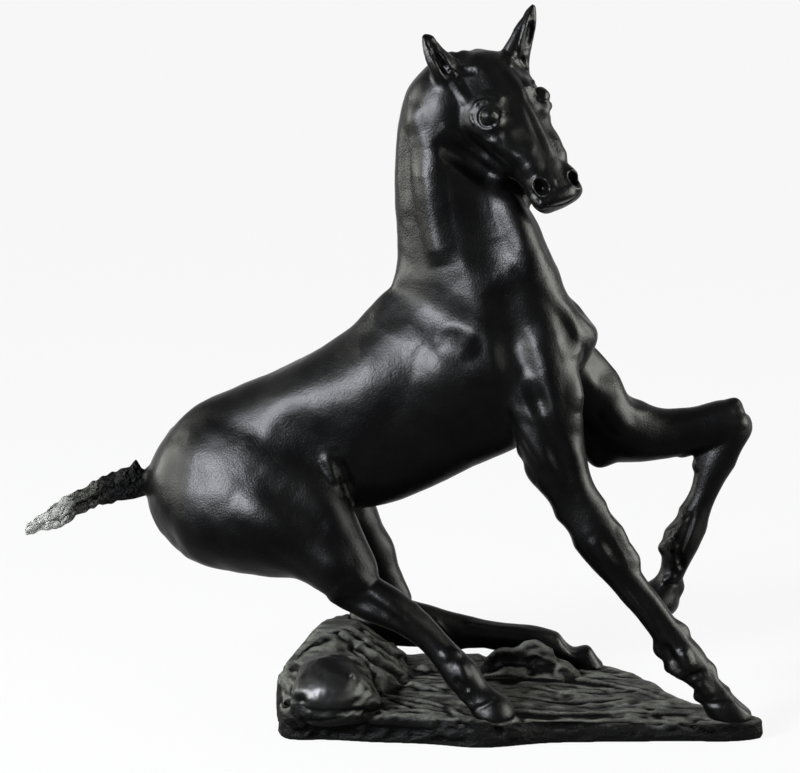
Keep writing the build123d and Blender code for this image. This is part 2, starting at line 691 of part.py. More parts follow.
with BuildPart() as leg_joint_pins:
    for plane, reach in leg_pins:
        with Locations(plane):
            Cylinder(radius=pin_diameter / 2, height=2 * reach)
leg_joint_pins.part.label = "leg_joint_pins"
export_step(leg_joint_pins.part, "parts/leg_joint_pins.step")

with BuildPart() as ear_and_tail_pins:
    for plane, reach in small_pins + [tail_pin]:
        with Locations(plane):
            Cylinder(radius=small_pin_diameter / 2, height=2 * reach)
ear_and_tail_pins.part.label = "ear_and_tail_pins"
export_step(ear_and_tail_pins.part, "parts/ear_and_tail_pins.step")

with BuildPart() as core_plugs:
    for station in rump_plug_stations + breast_plug_stations:
        with Locations(plug_plane(station)):
            Cylinder(radius=plug_diameter / 2, height=bronze_wall - pin_cover,
                     align=(Align.CENTER, Align.CENTER, Align.MIN))
core_plugs.part.label = "core_plugs"
export_step(core_plugs.part, "parts/core_plugs.step")


def ground_points(inset=0):
    """The base's outline on the ground, or a line that lies an inset inside it."""
    points = [Vector(along * figure_length, across * figure_width) for along, across in ground_shares]
    moved = []
    for before, point, after in zip(points[-1:] + points[:-1], points, points[1:] + points[:1]):
        heading = (after - before).normalized()
        moved.append(point + Vector(-heading.Y, heading.X) * inset)
    return moved


def outline(points, plane):
    """A closed smooth outline through its points."""
    with BuildSketch(plane) as shape:
        with BuildLine():
            Spline(*points, periodic=True)
        make_face()
    return shape.sketch


def ellipsoid(place, length, diameter):
    """A long round rock: a ball stretched along X."""
    with BuildPart() as rock:
        Sphere(radius=diameter / 2)
        scale(by=(length / diameter, 1, 1))
    return rock.part.moved(Location(place))


def rock_place(shares):
    return Vector(shares[0] * figure_length, shares[1] * figure_width, shares[2] * ground_high)


stud_places = [right_foreleg_stud_shares, right_hindleg_stud_shares, left_hindleg_stud_shares]
stud_planes = [ground_plane(along * figure_length, across * figure_width) for along, across in stud_places]
roof_plane = ground_plane(0, 0, base_wall)

with BuildPart() as base_hollow:
    extrude(outline(ground_points(base_wall), Plane.XY), amount=ground_high)
    split(bisect_by=roof_plane, keep=Keep.BOTTOM)

# The crag and the mound, with the bed that the left hock presses into them
with BuildPart() as crag_and_mound:
    loft([
        outline([(along * figure_length, across * figure_width) for along, across in level],
                Plane.XY.offset(rise * crag_height))
        for rise, level in crag_levels_shares
    ])
    add(ellipsoid(rock_place(mound_shares), mound_length, mound_diameter))
    add(left_hindleg, mode=Mode.SUBTRACT)

with BuildPart() as base_casting:
    extrude(outline(ground_points(), Plane.XY), amount=ground_high)
    split(bisect_by=ground_plane(0, 0), keep=Keep.BOTTOM)
    add(crag_and_mound.part)
    add(ellipsoid(rock_place(boulder_shares), boulder_length, boulder_diameter))
    split(bisect_by=Plane.XY, keep=Keep.TOP)
    add(base_hollow.part, mode=Mode.SUBTRACT)
    for plane in stud_planes:
        with Locations(plane):
            Cylinder(radius=stud_diameter / 2 + stud_clearance, height=2 * (base_wall + overrun),
                     mode=Mode.SUBTRACT)
base_casting.part.label = "base_casting"
export_step(base_casting.part, "parts/base_casting.step")

stud_reach = base_wall + washer_thickness + nut_height + stud_tail

with BuildPart() as hoof_studs:
    for plane in stud_planes:
        with Locations(plane.offset(-stud_reach)):
            Cylinder(radius=stud_diameter / 2, height=stud_reach + stud_grip,
                     align=(Align.CENTER, Align.CENTER, Align.MIN))
hoof_studs.part.label = "hoof_studs"
export_step(hoof_studs.part, "parts/hoof_studs.step")

with BuildPart() as stud_washers:
    for plane in stud_planes:
        with BuildSketch(plane.offset(-base_wall)):
            Circle(radius=washer_diameter / 2)
            Circle(radius=stud_diameter / 2 + stud_clearance, mode=Mode.SUBTRACT)
        extrude(amount=-washer_thickness)
stud_washers.part.label = "stud_washers"
export_step(stud_washers.part, "parts/stud_washers.step")

with BuildPart() as stud_nuts:
    for plane in stud_planes:
        with BuildSketch(plane.offset(-base_wall - washer_thickness)):
            RegularPolygon(radius=nut_across_flats / 2, side_count=6, major_radius=False)
            Circle(radius=stud_diameter / 2 + thread_clearance, mode=Mode.SUBTRACT)
        extrude(amount=-nut_height)
stud_nuts.part.label = "stud_nuts"
export_step(stud_nuts.part, "parts/stud_nuts.step")
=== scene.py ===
# %% [markdown]
# # A foal that rises from a rock, in dark bronze
#
# The real object is a small lost-wax bronze: hollow castings that are welded, pinned and chased until no
# joint shows, then coloured nearly black and waxed. This lesson dresses the plain castings of the frame.
# It takes them as the wax, works the muscles and the face with strokes, cuts the wax along the casting's
# joints again, and paints the patina with nodes.

import contextlib
import itertools
import json
import math

import bpy
import numpy as np
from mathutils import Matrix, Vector
from mathutils.bvhtree import BVHTree

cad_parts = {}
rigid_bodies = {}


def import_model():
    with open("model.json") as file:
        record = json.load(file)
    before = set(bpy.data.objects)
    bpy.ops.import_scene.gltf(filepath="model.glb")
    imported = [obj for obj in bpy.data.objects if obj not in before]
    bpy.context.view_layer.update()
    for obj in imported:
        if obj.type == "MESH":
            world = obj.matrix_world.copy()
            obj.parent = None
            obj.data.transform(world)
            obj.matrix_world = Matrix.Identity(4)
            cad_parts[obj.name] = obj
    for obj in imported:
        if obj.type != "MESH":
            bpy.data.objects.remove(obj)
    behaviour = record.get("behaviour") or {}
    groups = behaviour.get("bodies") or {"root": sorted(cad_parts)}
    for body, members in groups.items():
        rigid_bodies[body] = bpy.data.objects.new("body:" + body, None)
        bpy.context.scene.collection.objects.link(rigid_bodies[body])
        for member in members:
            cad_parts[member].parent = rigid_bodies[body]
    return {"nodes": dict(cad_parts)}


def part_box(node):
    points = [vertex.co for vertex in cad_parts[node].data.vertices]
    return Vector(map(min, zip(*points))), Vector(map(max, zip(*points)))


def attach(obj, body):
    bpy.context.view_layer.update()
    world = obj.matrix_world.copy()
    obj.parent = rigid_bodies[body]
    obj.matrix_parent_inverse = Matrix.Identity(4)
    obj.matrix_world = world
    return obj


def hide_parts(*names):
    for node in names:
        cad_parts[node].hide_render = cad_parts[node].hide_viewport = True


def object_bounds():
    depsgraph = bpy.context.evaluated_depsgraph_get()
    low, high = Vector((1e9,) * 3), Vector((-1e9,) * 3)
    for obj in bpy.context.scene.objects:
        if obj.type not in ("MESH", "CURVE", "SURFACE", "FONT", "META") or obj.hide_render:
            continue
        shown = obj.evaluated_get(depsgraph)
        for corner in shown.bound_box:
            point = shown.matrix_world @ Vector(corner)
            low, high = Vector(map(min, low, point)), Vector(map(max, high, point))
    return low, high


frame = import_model()
cad_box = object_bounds()
print("castings and fasteners:", len(frame["nodes"]), "box:", [[round(c, 4) for c in p] for p in cad_box])

# %% [markdown]
# The camera comes first, because many strokes below are given as pixels: a place that shows in the
# photograph is named by its pixel, and a ray from the camera finds where it lies on the clay. Lengths are
# written in millimetres, and divided by 1000 where Blender's metres are needed.

# %% Set the camera as the photographer did
photo_width, photo_height = 800, 773
target = Vector((0.0042, 0, 0.203))
camera_distance = 1.8
camera_elevation = math.radians(10)
lens_share = 3.75
pixel_in_mm = 0.6

camera_data = bpy.data.cameras.new("camera")
camera_data.sensor_fit = "HORIZONTAL"
camera_data.lens = lens_share * camera_data.sensor_width
camera = bpy.data.objects.new("camera", camera_data)
bpy.context.scene.collection.objects.link(camera)
view_back = Vector((0, -math.cos(camera_elevation), math.sin(camera_elevation)))
view_up = Vector((0, math.sin(camera_elevation), math.cos(camera_elevation)))
camera.location = target + view_back * camera_distance
camera.rotation_euler = (math.pi / 2 - camera_elevation, 0, 0)
bpy.context.scene.camera = camera


def sight(pixel):
    """The direction in which a pixel of the photograph looks."""
    across = (pixel[0] - photo_width / 2) / (photo_width * lens_share)
    down = (pixel[1] - photo_height / 2) / (photo_width * lens_share)
    return (Vector((1, 0, 0)) * across - view_up * down - view_back).normalized()


def behind(pixel, depth):
    """The place behind a pixel at a depth y, in millimetres, from the middle plane."""
    ray = sight(pixel)
    return np.array(camera.location + ray * ((depth / 1000 - camera.location.y) / ray.y))


# %% [markdown]
# Every operator acts on all that is selected, so small helpers keep the selection clean. One of them opens
# a piece in edit mode and closes it again, and one reads a mesh into an array, which is quick to count on.

# %% Helpers for selecting, editing and applying modifiers
merge_distance = 0.000001


def activate(*pieces):
    """Select these pieces alone, the first of them active."""
    bpy.ops.object.select_all(action="DESELECT")
    for piece in pieces:
        piece.select_set(True)
    bpy.context.view_layer.objects.active = pieces[0]


@contextlib.contextmanager
def editing(piece, chosen=None):
    """Edit mode on one piece, with all its points selected, or the chosen ones alone."""
    activate(piece)
    bpy.ops.object.mode_set(mode="EDIT")
    bpy.ops.mesh.select_all(action="SELECT" if chosen is None else "DESELECT")
    if chosen is not None:
        bpy.ops.object.mode_set(mode="OBJECT")
        piece.data.vertices.foreach_set("select", chosen)
        bpy.ops.object.mode_set(mode="EDIT")
    yield
    bpy.ops.object.mode_set(mode="OBJECT")


def apply_modifier(piece, kind, **settings):
    """Put a modifier on a piece and apply it at once."""
    activate(piece)
    modifier = piece.modifiers.new(kind.lower(), kind)
    for name, value in settings.items():
        setattr(modifier, name, value)
    bpy.ops.object.modifier_apply(modifier=modifier.name)


def as_array(items, name, columns=3, kind=float):
    """One property of all points or edges of a mesh, a row for each."""
    values = np.empty(len(items) * columns, kind)
    items.foreach_get(name, values)
    return values.reshape(-1, columns)


def triangle_count(piece):
    """How many triangles a piece's faces make."""
    return sum(len(face.vertices) - 2 for face in piece.data.polygons)


def copy_of(name, *nodes):
    """One new piece made of copies of these castings, its loose triangles merged."""
    copies = [bpy.data.objects.new(name, frame["nodes"][node].data.copy()) for node in nodes]
    for piece in copies:
        bpy.context.scene.collection.objects.link(piece)
    activate(*copies)
    if len(copies) > 1:
        bpy.ops.object.join()
    with editing(copies[0]):
        bpy.ops.mesh.remove_doubles(threshold=merge_distance)
    copies[0].data.materials.clear()
    return copies[0]


def outer_skin(piece):
    """Leave only the outermost shell of a remeshed piece, without the hollows inside it."""
    heights = as_array(piece.data.vertices, "co")[:, 2]
    with editing(piece, np.arange(len(heights)) == heights.argmax()):
        bpy.ops.mesh.select_linked()
        bpy.ops.mesh.select_all(action="INVERT")
        bpy.ops.mesh.delete(type="VERT")
    print(piece.name, "skin:", len(piece.data.polygons), "faces")


# %% [markdown]
# Clay is worked with strokes. A stroke is a path on the surface, with a width and a height: it raises or
# sinks the points within its width along their normals, most in its middle. A long stroke thins out at its
# ends, and a stroke leaves alone what faces away. The class below holds a piece's points as arrays, because
# a stroke touches thousands of them at once.

# %% The clay and its strokes
# a path longer than so many widths thins out to a share of its height at both ends
tapered_from_widths, tapered_end, taper_slope = 3, 0.25, 4
# how fast a stroke fades on faces that turn away, and how much of it is left on those side-on
facing_slope, facing_start = 1.5, 0.35
# how steeply a stamp's form ends, and how far a point goes to its neighbours' middle in each round
stamp_edge_slope = 9
even_out_share = 0.6
# where rays from the far side start, in metres
far_out = 0.3


def held(values, slope=1.0, offset=0.0):
    """Values times a slope, plus an offset, held between 0 and 1."""
    return np.clip(values * slope + offset, 0, 1)


class Clay:
    """A piece whose surface is worked with strokes, as clay is with a thumb."""

    def __init__(self, piece):
        self.piece = piece
        self.places = as_array(piece.data.vertices, "co")
        self.edges = as_array(piece.data.edges, "vertices", 2, int)
        self.settle()

    def settle(self):
        """Write the points to the mesh, and read its normals again."""
        mesh = self.piece.data
        mesh.vertices.foreach_set("co", self.places.ravel())
        mesh.update()
        self.normals = as_array(mesh.vertices, "normal")

    def hit(self, start, direction):
        """Where a ray meets the surface, and the normal there, or nothing."""
        found, place, normal, _ = self.piece.ray_cast(Vector(start), Vector(direction))
        return (np.array(place), np.array(normal)) if found else None

    def seen(self, *pixels):
        """The places under pixels of the photograph, with the mean of their normals."""
        return self.path([self.hit(camera.location, sight(pixel)) for pixel in pixels], pixels)

    def far_side(self, found):
        """The twin of a path on the far side, at the same places along and up the foal."""
        spots = found[0][:, [0, 2]]
        return self.path([self.hit((x, far_out, z), (0, -1, 0)) for x, z in spots], spots)

    def path(self, hits, names):
        """The places of these hits and their mean normal, without those that miss."""
        for found, name in zip(hits, names):
            if found is None:
                print("point off the clay:", name)
        hits = [found for found in hits if found is not None]
        if not hits:
            return None, None
        return np.array([h[0] for h in hits]), np.mean([h[1] for h in hits], axis=0)

    def near(self, path, width, facing=None, taper=False):
        """The points within a width of a path, with a weight that falls smoothly to its edge."""
        low, high = path.min(0) - width, path.max(0) + width
        chosen = np.flatnonzero(((self.places > low) & (self.places < high)).all(1))
        places = self.places[chosen]
        least = np.full(len(chosen), np.inf)
        along = np.zeros(len(chosen))
        steps = len(path) - 1
        for index in range(max(steps, 1)):
            start, end = path[index], path[min(index + 1, steps)]
            run = end - start
            share = held((places - start) @ run / max(run @ run, 1e-18))
            gap = np.linalg.norm(places - start - share[:, None] * run, axis=1)
            closer = gap < least
            least[closer] = gap[closer]
            along[closer] = ((index + share) / max(steps, 1))[closer]
        weights = held(1 - (least / width) ** 2) ** 2
        if taper and np.linalg.norm(path[-1] - path[0]) > tapered_from_widths * width:
            weights *= np.clip(np.minimum(along, 1 - along) * taper_slope, tapered_end, 1)
        if facing is not None:
            weights *= held(self.normals[chosen] @ facing, facing_slope, facing_start)
        kept = weights > 0
        return chosen[kept], weights[kept]

    def stroke(self, found, width, height, taper=True):
        """Raise the surface along a path by a height, or sink it by a negative one, in millimetres."""
        path, facing = found
        if path is None:
            return
        chosen, weights = self.near(path, width / 1000, facing, taper and len(path) > 1)
        self.places[chosen] += self.normals[chosen] * (weights * height / 1000)[:, None]

    def work(self, strokes, twin=None, taper=True, settle=True):
        """Draw strokes, each a name, a width, a height and the pixels of its path. A twin is the function
        that finds the same path on the far side. The mesh settles at the end, unless more follows."""
        for name, width, height, pixels in strokes:
            found = self.seen(*pixels)
            if found[0] is None:
                print("stroke off the clay:", name)
                continue
            twins = [twin(found)] if twin else []
            for path in [found, *twins]:
                self.stroke(path, width, height, taper)
        if settle:
            self.settle()

    def stamp(self, found, profile, radius, long_way, length, bend=0.0):
        """Press a round or oval form in. The profile is a list of distances from its middle, as shares of
        the radius, each with its height; a bend makes the heights differ between its two ends."""
        centre = found[0].mean(0)
        out = found[1] / np.linalg.norm(found[1])
        long_way = np.array(long_way) - (np.array(long_way) @ out) * out
        long_way /= np.linalg.norm(long_way)
        chosen, weights = self.near(centre[None], radius * length * profile[-1][0] / 1000, out)
        offset = (self.places[chosen] - centre) * 1000
        along = offset @ long_way / length
        aside = offset @ np.cross(out, long_way)
        share = np.hypot(along, aside) / radius
        heights = np.interp(share, [p[0] for p in profile], [p[1] for p in profile])
        heights += bend * along / radius * held(1 - share / profile[-1][0])
        self.places[chosen] += out * (heights * held(weights, stamp_edge_slope))[:, None] / 1000

    def nudge(self, pixel, y, across, down, width, facing=None):
        """Shift the outline at a pixel, at a depth y, by parts of a pixel across and down: all that lies
        within a width, or what faces one way."""
        chosen, weights = self.near(behind(pixel, y)[None], width / 1000, facing)
        move = np.array((across, 0, -down)) * pixel_in_mm
        self.places[chosen] += np.outer(weights, move) / 1000

    def smooth(self, path, width, times):
        """Even out the surface along a path."""
        self.relax(times, *self.near(path, width / 1000))

    def relax(self, times, chosen=None, weights=1.0):
        """Move all points, or the chosen ones, towards the middle of their neighbours."""
        if chosen is None:
            chosen = np.arange(len(self.places))
        index = np.full(len(self.places), -1)
        index[chosen] = np.arange(len(chosen))
        inner = (index[self.edges] >= 0).all(1)
        one, two = index[self.edges[inner]].T
        count = np.bincount(one, minlength=len(chosen)) + np.bincount(two, minlength=len(chosen))
        count = np.maximum(count, 1)
        places = self.places[chosen]
        for _ in range(times):
            for axis in range(3):
                total = np.bincount(one, places[two, axis], len(chosen))
                total += np.bincount(two, places[one, axis], len(chosen))
                places[:, axis] += (total / count - places[:, axis]) * weights * even_out_share
        self.places[chosen] = places


# %% [markdown]
# No surface made by hand is even. This function gives a gentle random height for each point, the same at
# each run, with swellings of a chosen size. The seed picks the random heights of a lattice, and the height
# between its corners is blended. The clay takes a little of it at several sizes.

# %% Swellings of the hand
lattice_cells = 48
crest_width = 0.7


def swell(places, size, seed):
    """A smooth random height, from -1 to 1, at places in metres, with swellings of so many millimetres."""
    lattice = np.random.default_rng(seed).uniform(-1, 1, (lattice_cells,) * 3)
    spots = places * 1000 / np.array(size)
    cells = np.floor(spots).astype(int)
    part = spots - cells
    part = part * part * (3 - 2 * part)
    total = np.zeros(len(places))
    for corner in itertools.product((0, 1), repeat=3):
        weights = np.where(corner, part, 1 - part).prod(axis=1)
        total += weights * lattice[tuple(((cells + corner) % lattice_cells).T)]
    return total


def ridged(places, size, seed):
    """Heights from -1 to 1 with narrow crests between wide hollows, as pulled clay has."""
    return 1 - 2 * np.abs(swell(places, size, seed)) ** crest_width


def heights(places, *layers):
    """The sum of layers of random heights, each a function, a size, a seed and a height in millimetres."""
    return sum(kind(places, size, seed) * height for kind, size, seed, height in layers)


# %% [markdown]
# A patina is a skin of colour over metal. Its nodes are many, and shader maths reads better as Python
# expressions, so a small class wraps a socket, and sums and products on it add their Math nodes. Another
# builds a tree of nodes, and a finish is such a tree in a material.

# %% Helpers for materials
class Wire:
    """A value that comes out of a node's socket, for sums in Python."""

    def __init__(self, tree, socket):
        self.tree = tree
        self.socket = socket

    def math(self, operation, first, second):
        """A Math node for two values or wires."""
        node = self.tree.node("ShaderNodeMath", {"operation": operation}, {0: first, 1: second})
        return Wire(self.tree, node.outputs[0])

    def __add__(self, other):
        return self.math("ADD", self, other)

    __radd__ = __add__

    def __sub__(self, other):
        return self.math("SUBTRACT", self, other)

    def __rsub__(self, other):
        return self.math("SUBTRACT", other, self)

    def __mul__(self, other):
        return self.math("MULTIPLY", self, other)

    __rmul__ = __mul__

    def clamped(self):
        """The value held between 0 and 1."""
        return Wire(self.tree, self.tree.node("ShaderNodeClamp", {}, {0: self}).outputs[0])


class Tree:
    """A tree of nodes, which are added one by one."""

    def __init__(self, tree):
        self.tree = tree

    def node(self, kind, settings, inputs):
        """Add a node: its settings first, then the values or links of its sockets."""
        node = self.tree.nodes.new(kind)
        for name, value in settings.items():
            setattr(node, name, value)
        for name, value in inputs.items():
            self.feed(node.inputs[name], value)
        return node

    def feed(self, socket, value):
        """Give a socket a value, or a link from a wire or another socket."""
        if isinstance(value, Wire):
            value = value.socket
        if isinstance(value, bpy.types.NodeSocket):
            self.tree.links.new(value, socket)
        else:
            socket.default_value = value

    def seen_share(self):
        """1 for rays from the camera, a mirror or a glass, and 0 for those that carry light."""
        rays = self.node("ShaderNodeLightPath", {}, {})
        camera_ray = Wire(self, rays.outputs["Is Camera Ray"])
        return (camera_ray + rays.outputs["Is Glossy Ray"] + rays.outputs["Is Transmission Ray"]).clamped()


class Finish(Tree):
    """A material, with the patterns that patinas are made of."""

    def __init__(self, name):
        self.material = bpy.data.materials.new(name)
        self.material.use_nodes = True
        super().__init__(self.material.node_tree)
        self.shader = self.tree.nodes["Principled BSDF"]
        self.coordinates = self.node("ShaderNodeTexCoord", {}, {}).outputs["Object"]

    def set(self, **values):
        """Set or link the shader's own sockets, with words joined by an underscore."""
        for name, value in values.items():
            self.feed(self.shader.inputs[name.replace("_", " ")], value)

    def noise(self, scale, detail, roughness, coordinates=None, kind="FBM", **more):
        """A cloudy pattern, from 0 to 1, with so many spots to a metre."""
        node = self.node("ShaderNodeTexNoise", {"noise_type": kind}, {
            "Vector": coordinates or self.coordinates,
            "Scale": scale,
            "Detail": detail,
            "Roughness": roughness,
            **more,
        })
        return Wire(self, node.outputs["Fac"])

    def ridges(self, scale, coordinates):
        """A pattern of narrow crests, from 0 to about 1, with so many to a metre."""
        return self.noise(scale, detail=5.0, roughness=0.6, coordinates=coordinates,
                          kind="RIDGED_MULTIFRACTAL", Offset=0.9, Gain=2.0)

    def ramp(self, value, low, high, out_low=0.0, out_high=1.0):
        """A value spread smoothly from one range to another, and held inside it."""
        node = self.node("ShaderNodeMapRange", {"interpolation_type": "SMOOTHSTEP"}, {
            "Value": value,
            "From Min": low,
            "From Max": high,
            "To Min": out_low,
            "To Max": out_high,
        })
        return Wire(self, node.outputs["Result"])

    def stretched(self, x, y, z):
        """The object's coordinates, scaled unequally, for streaks."""
        node = self.node("ShaderNodeMapping", {}, {"Vector": self.coordinates, "Scale": (x, y, z)})
        return node.outputs["Vector"]

    def mixed(self, share, first, second):
        """One colour turned into another by a share."""
        node = self.node("ShaderNodeMix", {"data_type": "RGBA"}, {0: share, 6: first, 7: second})
        return node.outputs[2]

    def bump(self, height, distance):
        """A relief of so many metres, from a pattern from 0 to 1."""
        return self.node("ShaderNodeBump", {}, {"Distance": distance, "Height": height}).outputs["Normal"]

    def pointiness(self):
        """How far an edge stands out, about 0.5 on a flat."""
        return Wire(self, self.node("ShaderNodeNewGeometry", {}, {}).outputs["Pointiness"])

    def kept(self, name):
        """A value that the mesh keeps for each point."""
        return Wire(self, self.node("ShaderNodeAttribute", {"attribute_name": name}, {}).outputs["Fac"])


# %% [markdown]
# The wax: all the foal's castings in one, remeshed at about a millimetre. Where a limb meets the body the
# plain forms cross in a hard crease, and the clay is evened out there first.

# %% Take the foal's castings as one piece of clay
castings_and_where_they_join = {
    "forehand_casting": "hindquarters_casting",
    "neck_casting": "forehand_casting",
    "head_casting": "neck_casting",
    "right_foreleg": "forehand_casting",
    "left_foreleg": "forehand_casting",
    "right_hindleg": "hindquarters_casting",
    "left_hindleg": "hindquarters_casting",
    "right_ear": "head_casting",
    "left_ear": "head_casting",
}
foal_nodes = ["hindquarters_casting", *castings_and_where_they_join]
voxel = 0.0011


def as_clay(piece, times):
    """Remesh a piece as one closed skin of even faces, and even it out."""
    apply_modifier(piece, "REMESH", mode="VOXEL", voxel_size=voxel, use_smooth_shade=True)
    outer_skin(piece)
    worked = Clay(piece)
    worked.relax(times)
    return worked


foal = copy_of("foal_clay", *foal_nodes, "core_plugs")
clay = as_clay(foal, times=6)

body_paths = [
    [(-133, 2, 140), (-80, -4, 165), (-20, -12, 200), (40, -16, 222), (95, -20, 235)],
    [(95, -20, 235), (62, -18, 285), (40, -16, 335)],
]
body_width, body_times = 72, 60
for path in body_paths:
    clay.smooth(np.array(path) / 1000, body_width, body_times)
clay.settle()

# %% [markdown]
# The castings of the frame follow the figure's outline within a few millimetres. The clay goes the rest of
# the way: each nudge shifts the outline at a pixel, front and back alike, as a palm pushes wax.

# %% Push the outline to where the photograph has it
outline_nudges = [
    # crest and withers
    ((391, 288), -20, -4, -1, 22), ((372, 304), -12, -1.8, -1.8, 22), ((395, 185), -16, -1.8, 0, 28),
    ((404, 105), -14, 2.6, 1, 26), ((420, 70), -12, 2, 1.6, 16),
    # top of the head
    ((474, 56), -12, 0, -2.6, 20), ((456, 60), -16, 0, -5, 10), ((459, 54), -14, 0, -5, 8),
    ((489, 52), -12, 0, 2.6, 9),
    # ears
    ((425, 40), -31, -1, -3.5, 6), ((427, 55), -30, 1.5, 0, 6), ((444, 50), -30, -3.5, 1.5, 6),
    ((534, 9), -8, 0, -4.6, 7), ((432, 39), -31, 1.4, -2, 5), ((529, 14), -8, -1.4, -1, 5),
    ((512, 40), -8, 2.6, 0, 8), ((528, 62), -8, -1, 0, 5),
    # muzzle, chin and jaw
    ((573, 171), -45, 5.5, -1, 9), ((549, 211), -46, 0, 1, 8), ((578, 186), -47, 1.5, 0, 6),
    ((552, 125), -22, -3.6, 0, 12), ((540, 84), -14, -2.5, 1, 8), ((558, 146), -30, -2, 0, 9),
    # front of the neck and the breast
    ((549, 252), -26, -2.4, 0, 28), ((570, 292), -26, -4.5, 1.5, 18), ((586, 310), -26, -6.5, 4, 15),
    ((612, 368), -10, -9.5, 6, 17), ((628, 393), 4, -1, 5.5, 16), ((662, 409), 8, 0, 2.4, 16),
    ((601, 350), -20, 2.5, 0, 7), ((393, 282), -20, -1.6, -0.6, 10),
    # back and rump
    ((285, 367), -2, 0.7, 1.8, 30), ((196, 408), 2, -1.2, -1.6, 26), ((155, 522), 6, -3.4, 2, 26),
    ((180, 552), -8, -3.5, 3, 16), ((152, 520), 6, 2, 0, 12),
    ((203, 563), -10, 0, -4, 16), ((278, 576), -20, 0, 5, 20), ((328, 600), -34, 4, -9, 13),
    # belly and far thigh
    ((384, 506), 10, 1.5, 3, 10), ((410, 592), 42, 4.5, 5.5, 10),
    ((392, 545), 42, 3.4, 0, 16),
    # near foreleg, from the elbow down
    ((514, 454), -40, -4.5, 3, 9), ((528, 474), -42, -3.5, 1, 11), ((548, 502), -44, 3.2, -1, 13),
    ((568, 530), -46, 4, -1, 12), ((616, 512), -48, -3.5, 0, 10), ((637, 556), -48, 5.5, -1, 11),
    ((685, 626), -49, 5, -1.6, 9), ((656, 652), -49, -5.5, 2.5, 9), ((666, 668), -49, -2.5, 3, 6),
    ((682, 682), -50, 1.5, -3.5, 5), ((714, 667), -49, 3.5, -1.5, 8),
    ((698, 697), -50, -5, 2, 6), ((741, 699), -50, -8, 4, 11), ((760, 722), -50, -9, 4, 9),
    # raised foreleg
    ((738, 402), 15, 1, -4, 9), ((746, 450), 15, -5, 0, 14), ((690, 460), 13, -5.5, 4.5, 10),
    ((672, 519), 13, 7, 0, 9), ((662, 548), 12, -4, 0, 6), ((706, 530), 13, 1.6, 0, 9),
    ((683, 588), 14, 4.5, 0, 8), ((670, 604), 14, -2, 2, 6), ((600, 463), 4, -2, 8, 13),
    # far hind cannon
    ((575, 642), 53, -3.5, 8, 13), ((450, 649), 48, 0, 3.5, 12), ((500, 650), 51, 0, 3, 12),
    ((594, 654), 55, -2, 2, 8),
]
for pixel, y, across, down, width in outline_nudges:
    clay.nudge(pixel, y, across, down, width)
# the throat alone, where it faces forward
clay.nudge((518, 188), -24, 20, 0, 15, facing=np.array((1, 0, 0)))
clay.settle()
print("nudges of the outline:", len(outline_nudges) + 1)

# %% [markdown]
# The muscles: each has a name, a width, a height and a path of pixels that crosses it. Those of the trunk
# and neck have a twin on the far side, at the same places along and up the foal.

# %% Raise and sink the muscles
trunk_strokes = [
    ("barrel tucked in below its ribs", 42, -1.6, [(350, 452), (400, 455), (450, 450), (488, 432)]),
    ("spring of the ribs", 30, 2.2, [(300, 385), (330, 388), (362, 378)]),
    ("hollow of the flank", 20, -1.4, [(296, 428), (318, 446)]),
    ("rump below", 34, 4, [(188, 522), (225, 528), (262, 536)]),
    ("rump above", 34, -2.6, [(205, 440), (250, 445), (290, 462)]),
    ("band of the thigh", 17, 2.4, [(256, 512), (290, 536), (326, 562)]),
    ("hollow over the band", 14, -1.4, [(275, 490), (306, 512), (332, 536)]),
    ("fold of the flank", 5.5, 2.4, [(320, 453), (331, 469), (341, 489)]),
    ("groove of the flank", 6, -2.8, [(335, 455), (347, 482), (357, 512)]),
    ("withers kept flat", 20, -1.8, [(400, 306), (425, 312), (446, 322)]),
    ("blade of the shoulder", 20, 3.4, [(444, 372), (466, 376), (488, 374)]),
    ("spine of the blade", 11, 1.8, [(452, 340), (464, 346)]),
    ("hollow behind the arm", 14, -2.6, [(516, 350), (526, 374), (533, 398)]),
    ("hollow before the blade", 14, -1.8, [(505, 300), (508, 330), (514, 360)]),
    ("muscle along the neck", 13, 3.8, [(427, 140), (426, 175), (431, 215), (438, 250), (442, 272)]),
    ("groove behind the crest", 8, -1.3, [(407, 120), (404, 165), (407, 215)]),
    ("hollow of the neck", 22, -4.6, [(472, 160), (479, 200), (487, 240)]),
    ("hollow down to the shoulder", 20, -2.6, [(484, 232), (498, 275), (514, 320), (524, 356)]),
    ("windpipe", 13, 3.4, [(506, 184), (514, 210), (528, 246), (548, 282)]),
]
near_leg_strokes = [
    ("muscle of the upper arm", 12, 3.2, [(567, 334), (573, 360), (577, 390), (579, 418)]),
    ("groove of the forearm", 8, -2.2, [(527, 372), (541, 410), (556, 448), (571, 492)]),
    ("back line of the forearm", 7, 1.6, [(502, 392), (520, 425), (540, 455), (556, 480)]),
    ("front line of the forearm", 8, 1.2, [(568, 430), (580, 475), (592, 508)]),
    ("edge of the breast", 7, 1, [(546, 286), (566, 311), (578, 332), (590, 380)]),
    ("groove beside the breast", 8, -1.4, [(558, 303), (566, 332), (571, 362), (574, 392)]),
    ("ridge of the gaskin", 8, 1.1, [(341, 566), (370, 590), (400, 612), (432, 642)]),
    ("groove under the ridge", 5, -1.2, [(352, 589), (385, 611), (415, 634)]),
]
evened_lines = {
    "withers to shoulder": [(388, 284), (420, 300), (455, 318), (490, 334)],
    "edge of the breast": [(560, 285), (588, 330), (596, 365), (612, 385)],
}
for pixels in evened_lines.values():
    clay.smooth(clay.seen(*pixels)[0], width=16, times=40)
    clay.settle()
clay.work(trunk_strokes, twin=clay.far_side)
clay.work(near_leg_strokes)
print("strokes of the trunk:", len(trunk_strokes), "and of the near legs:", len(near_leg_strokes))
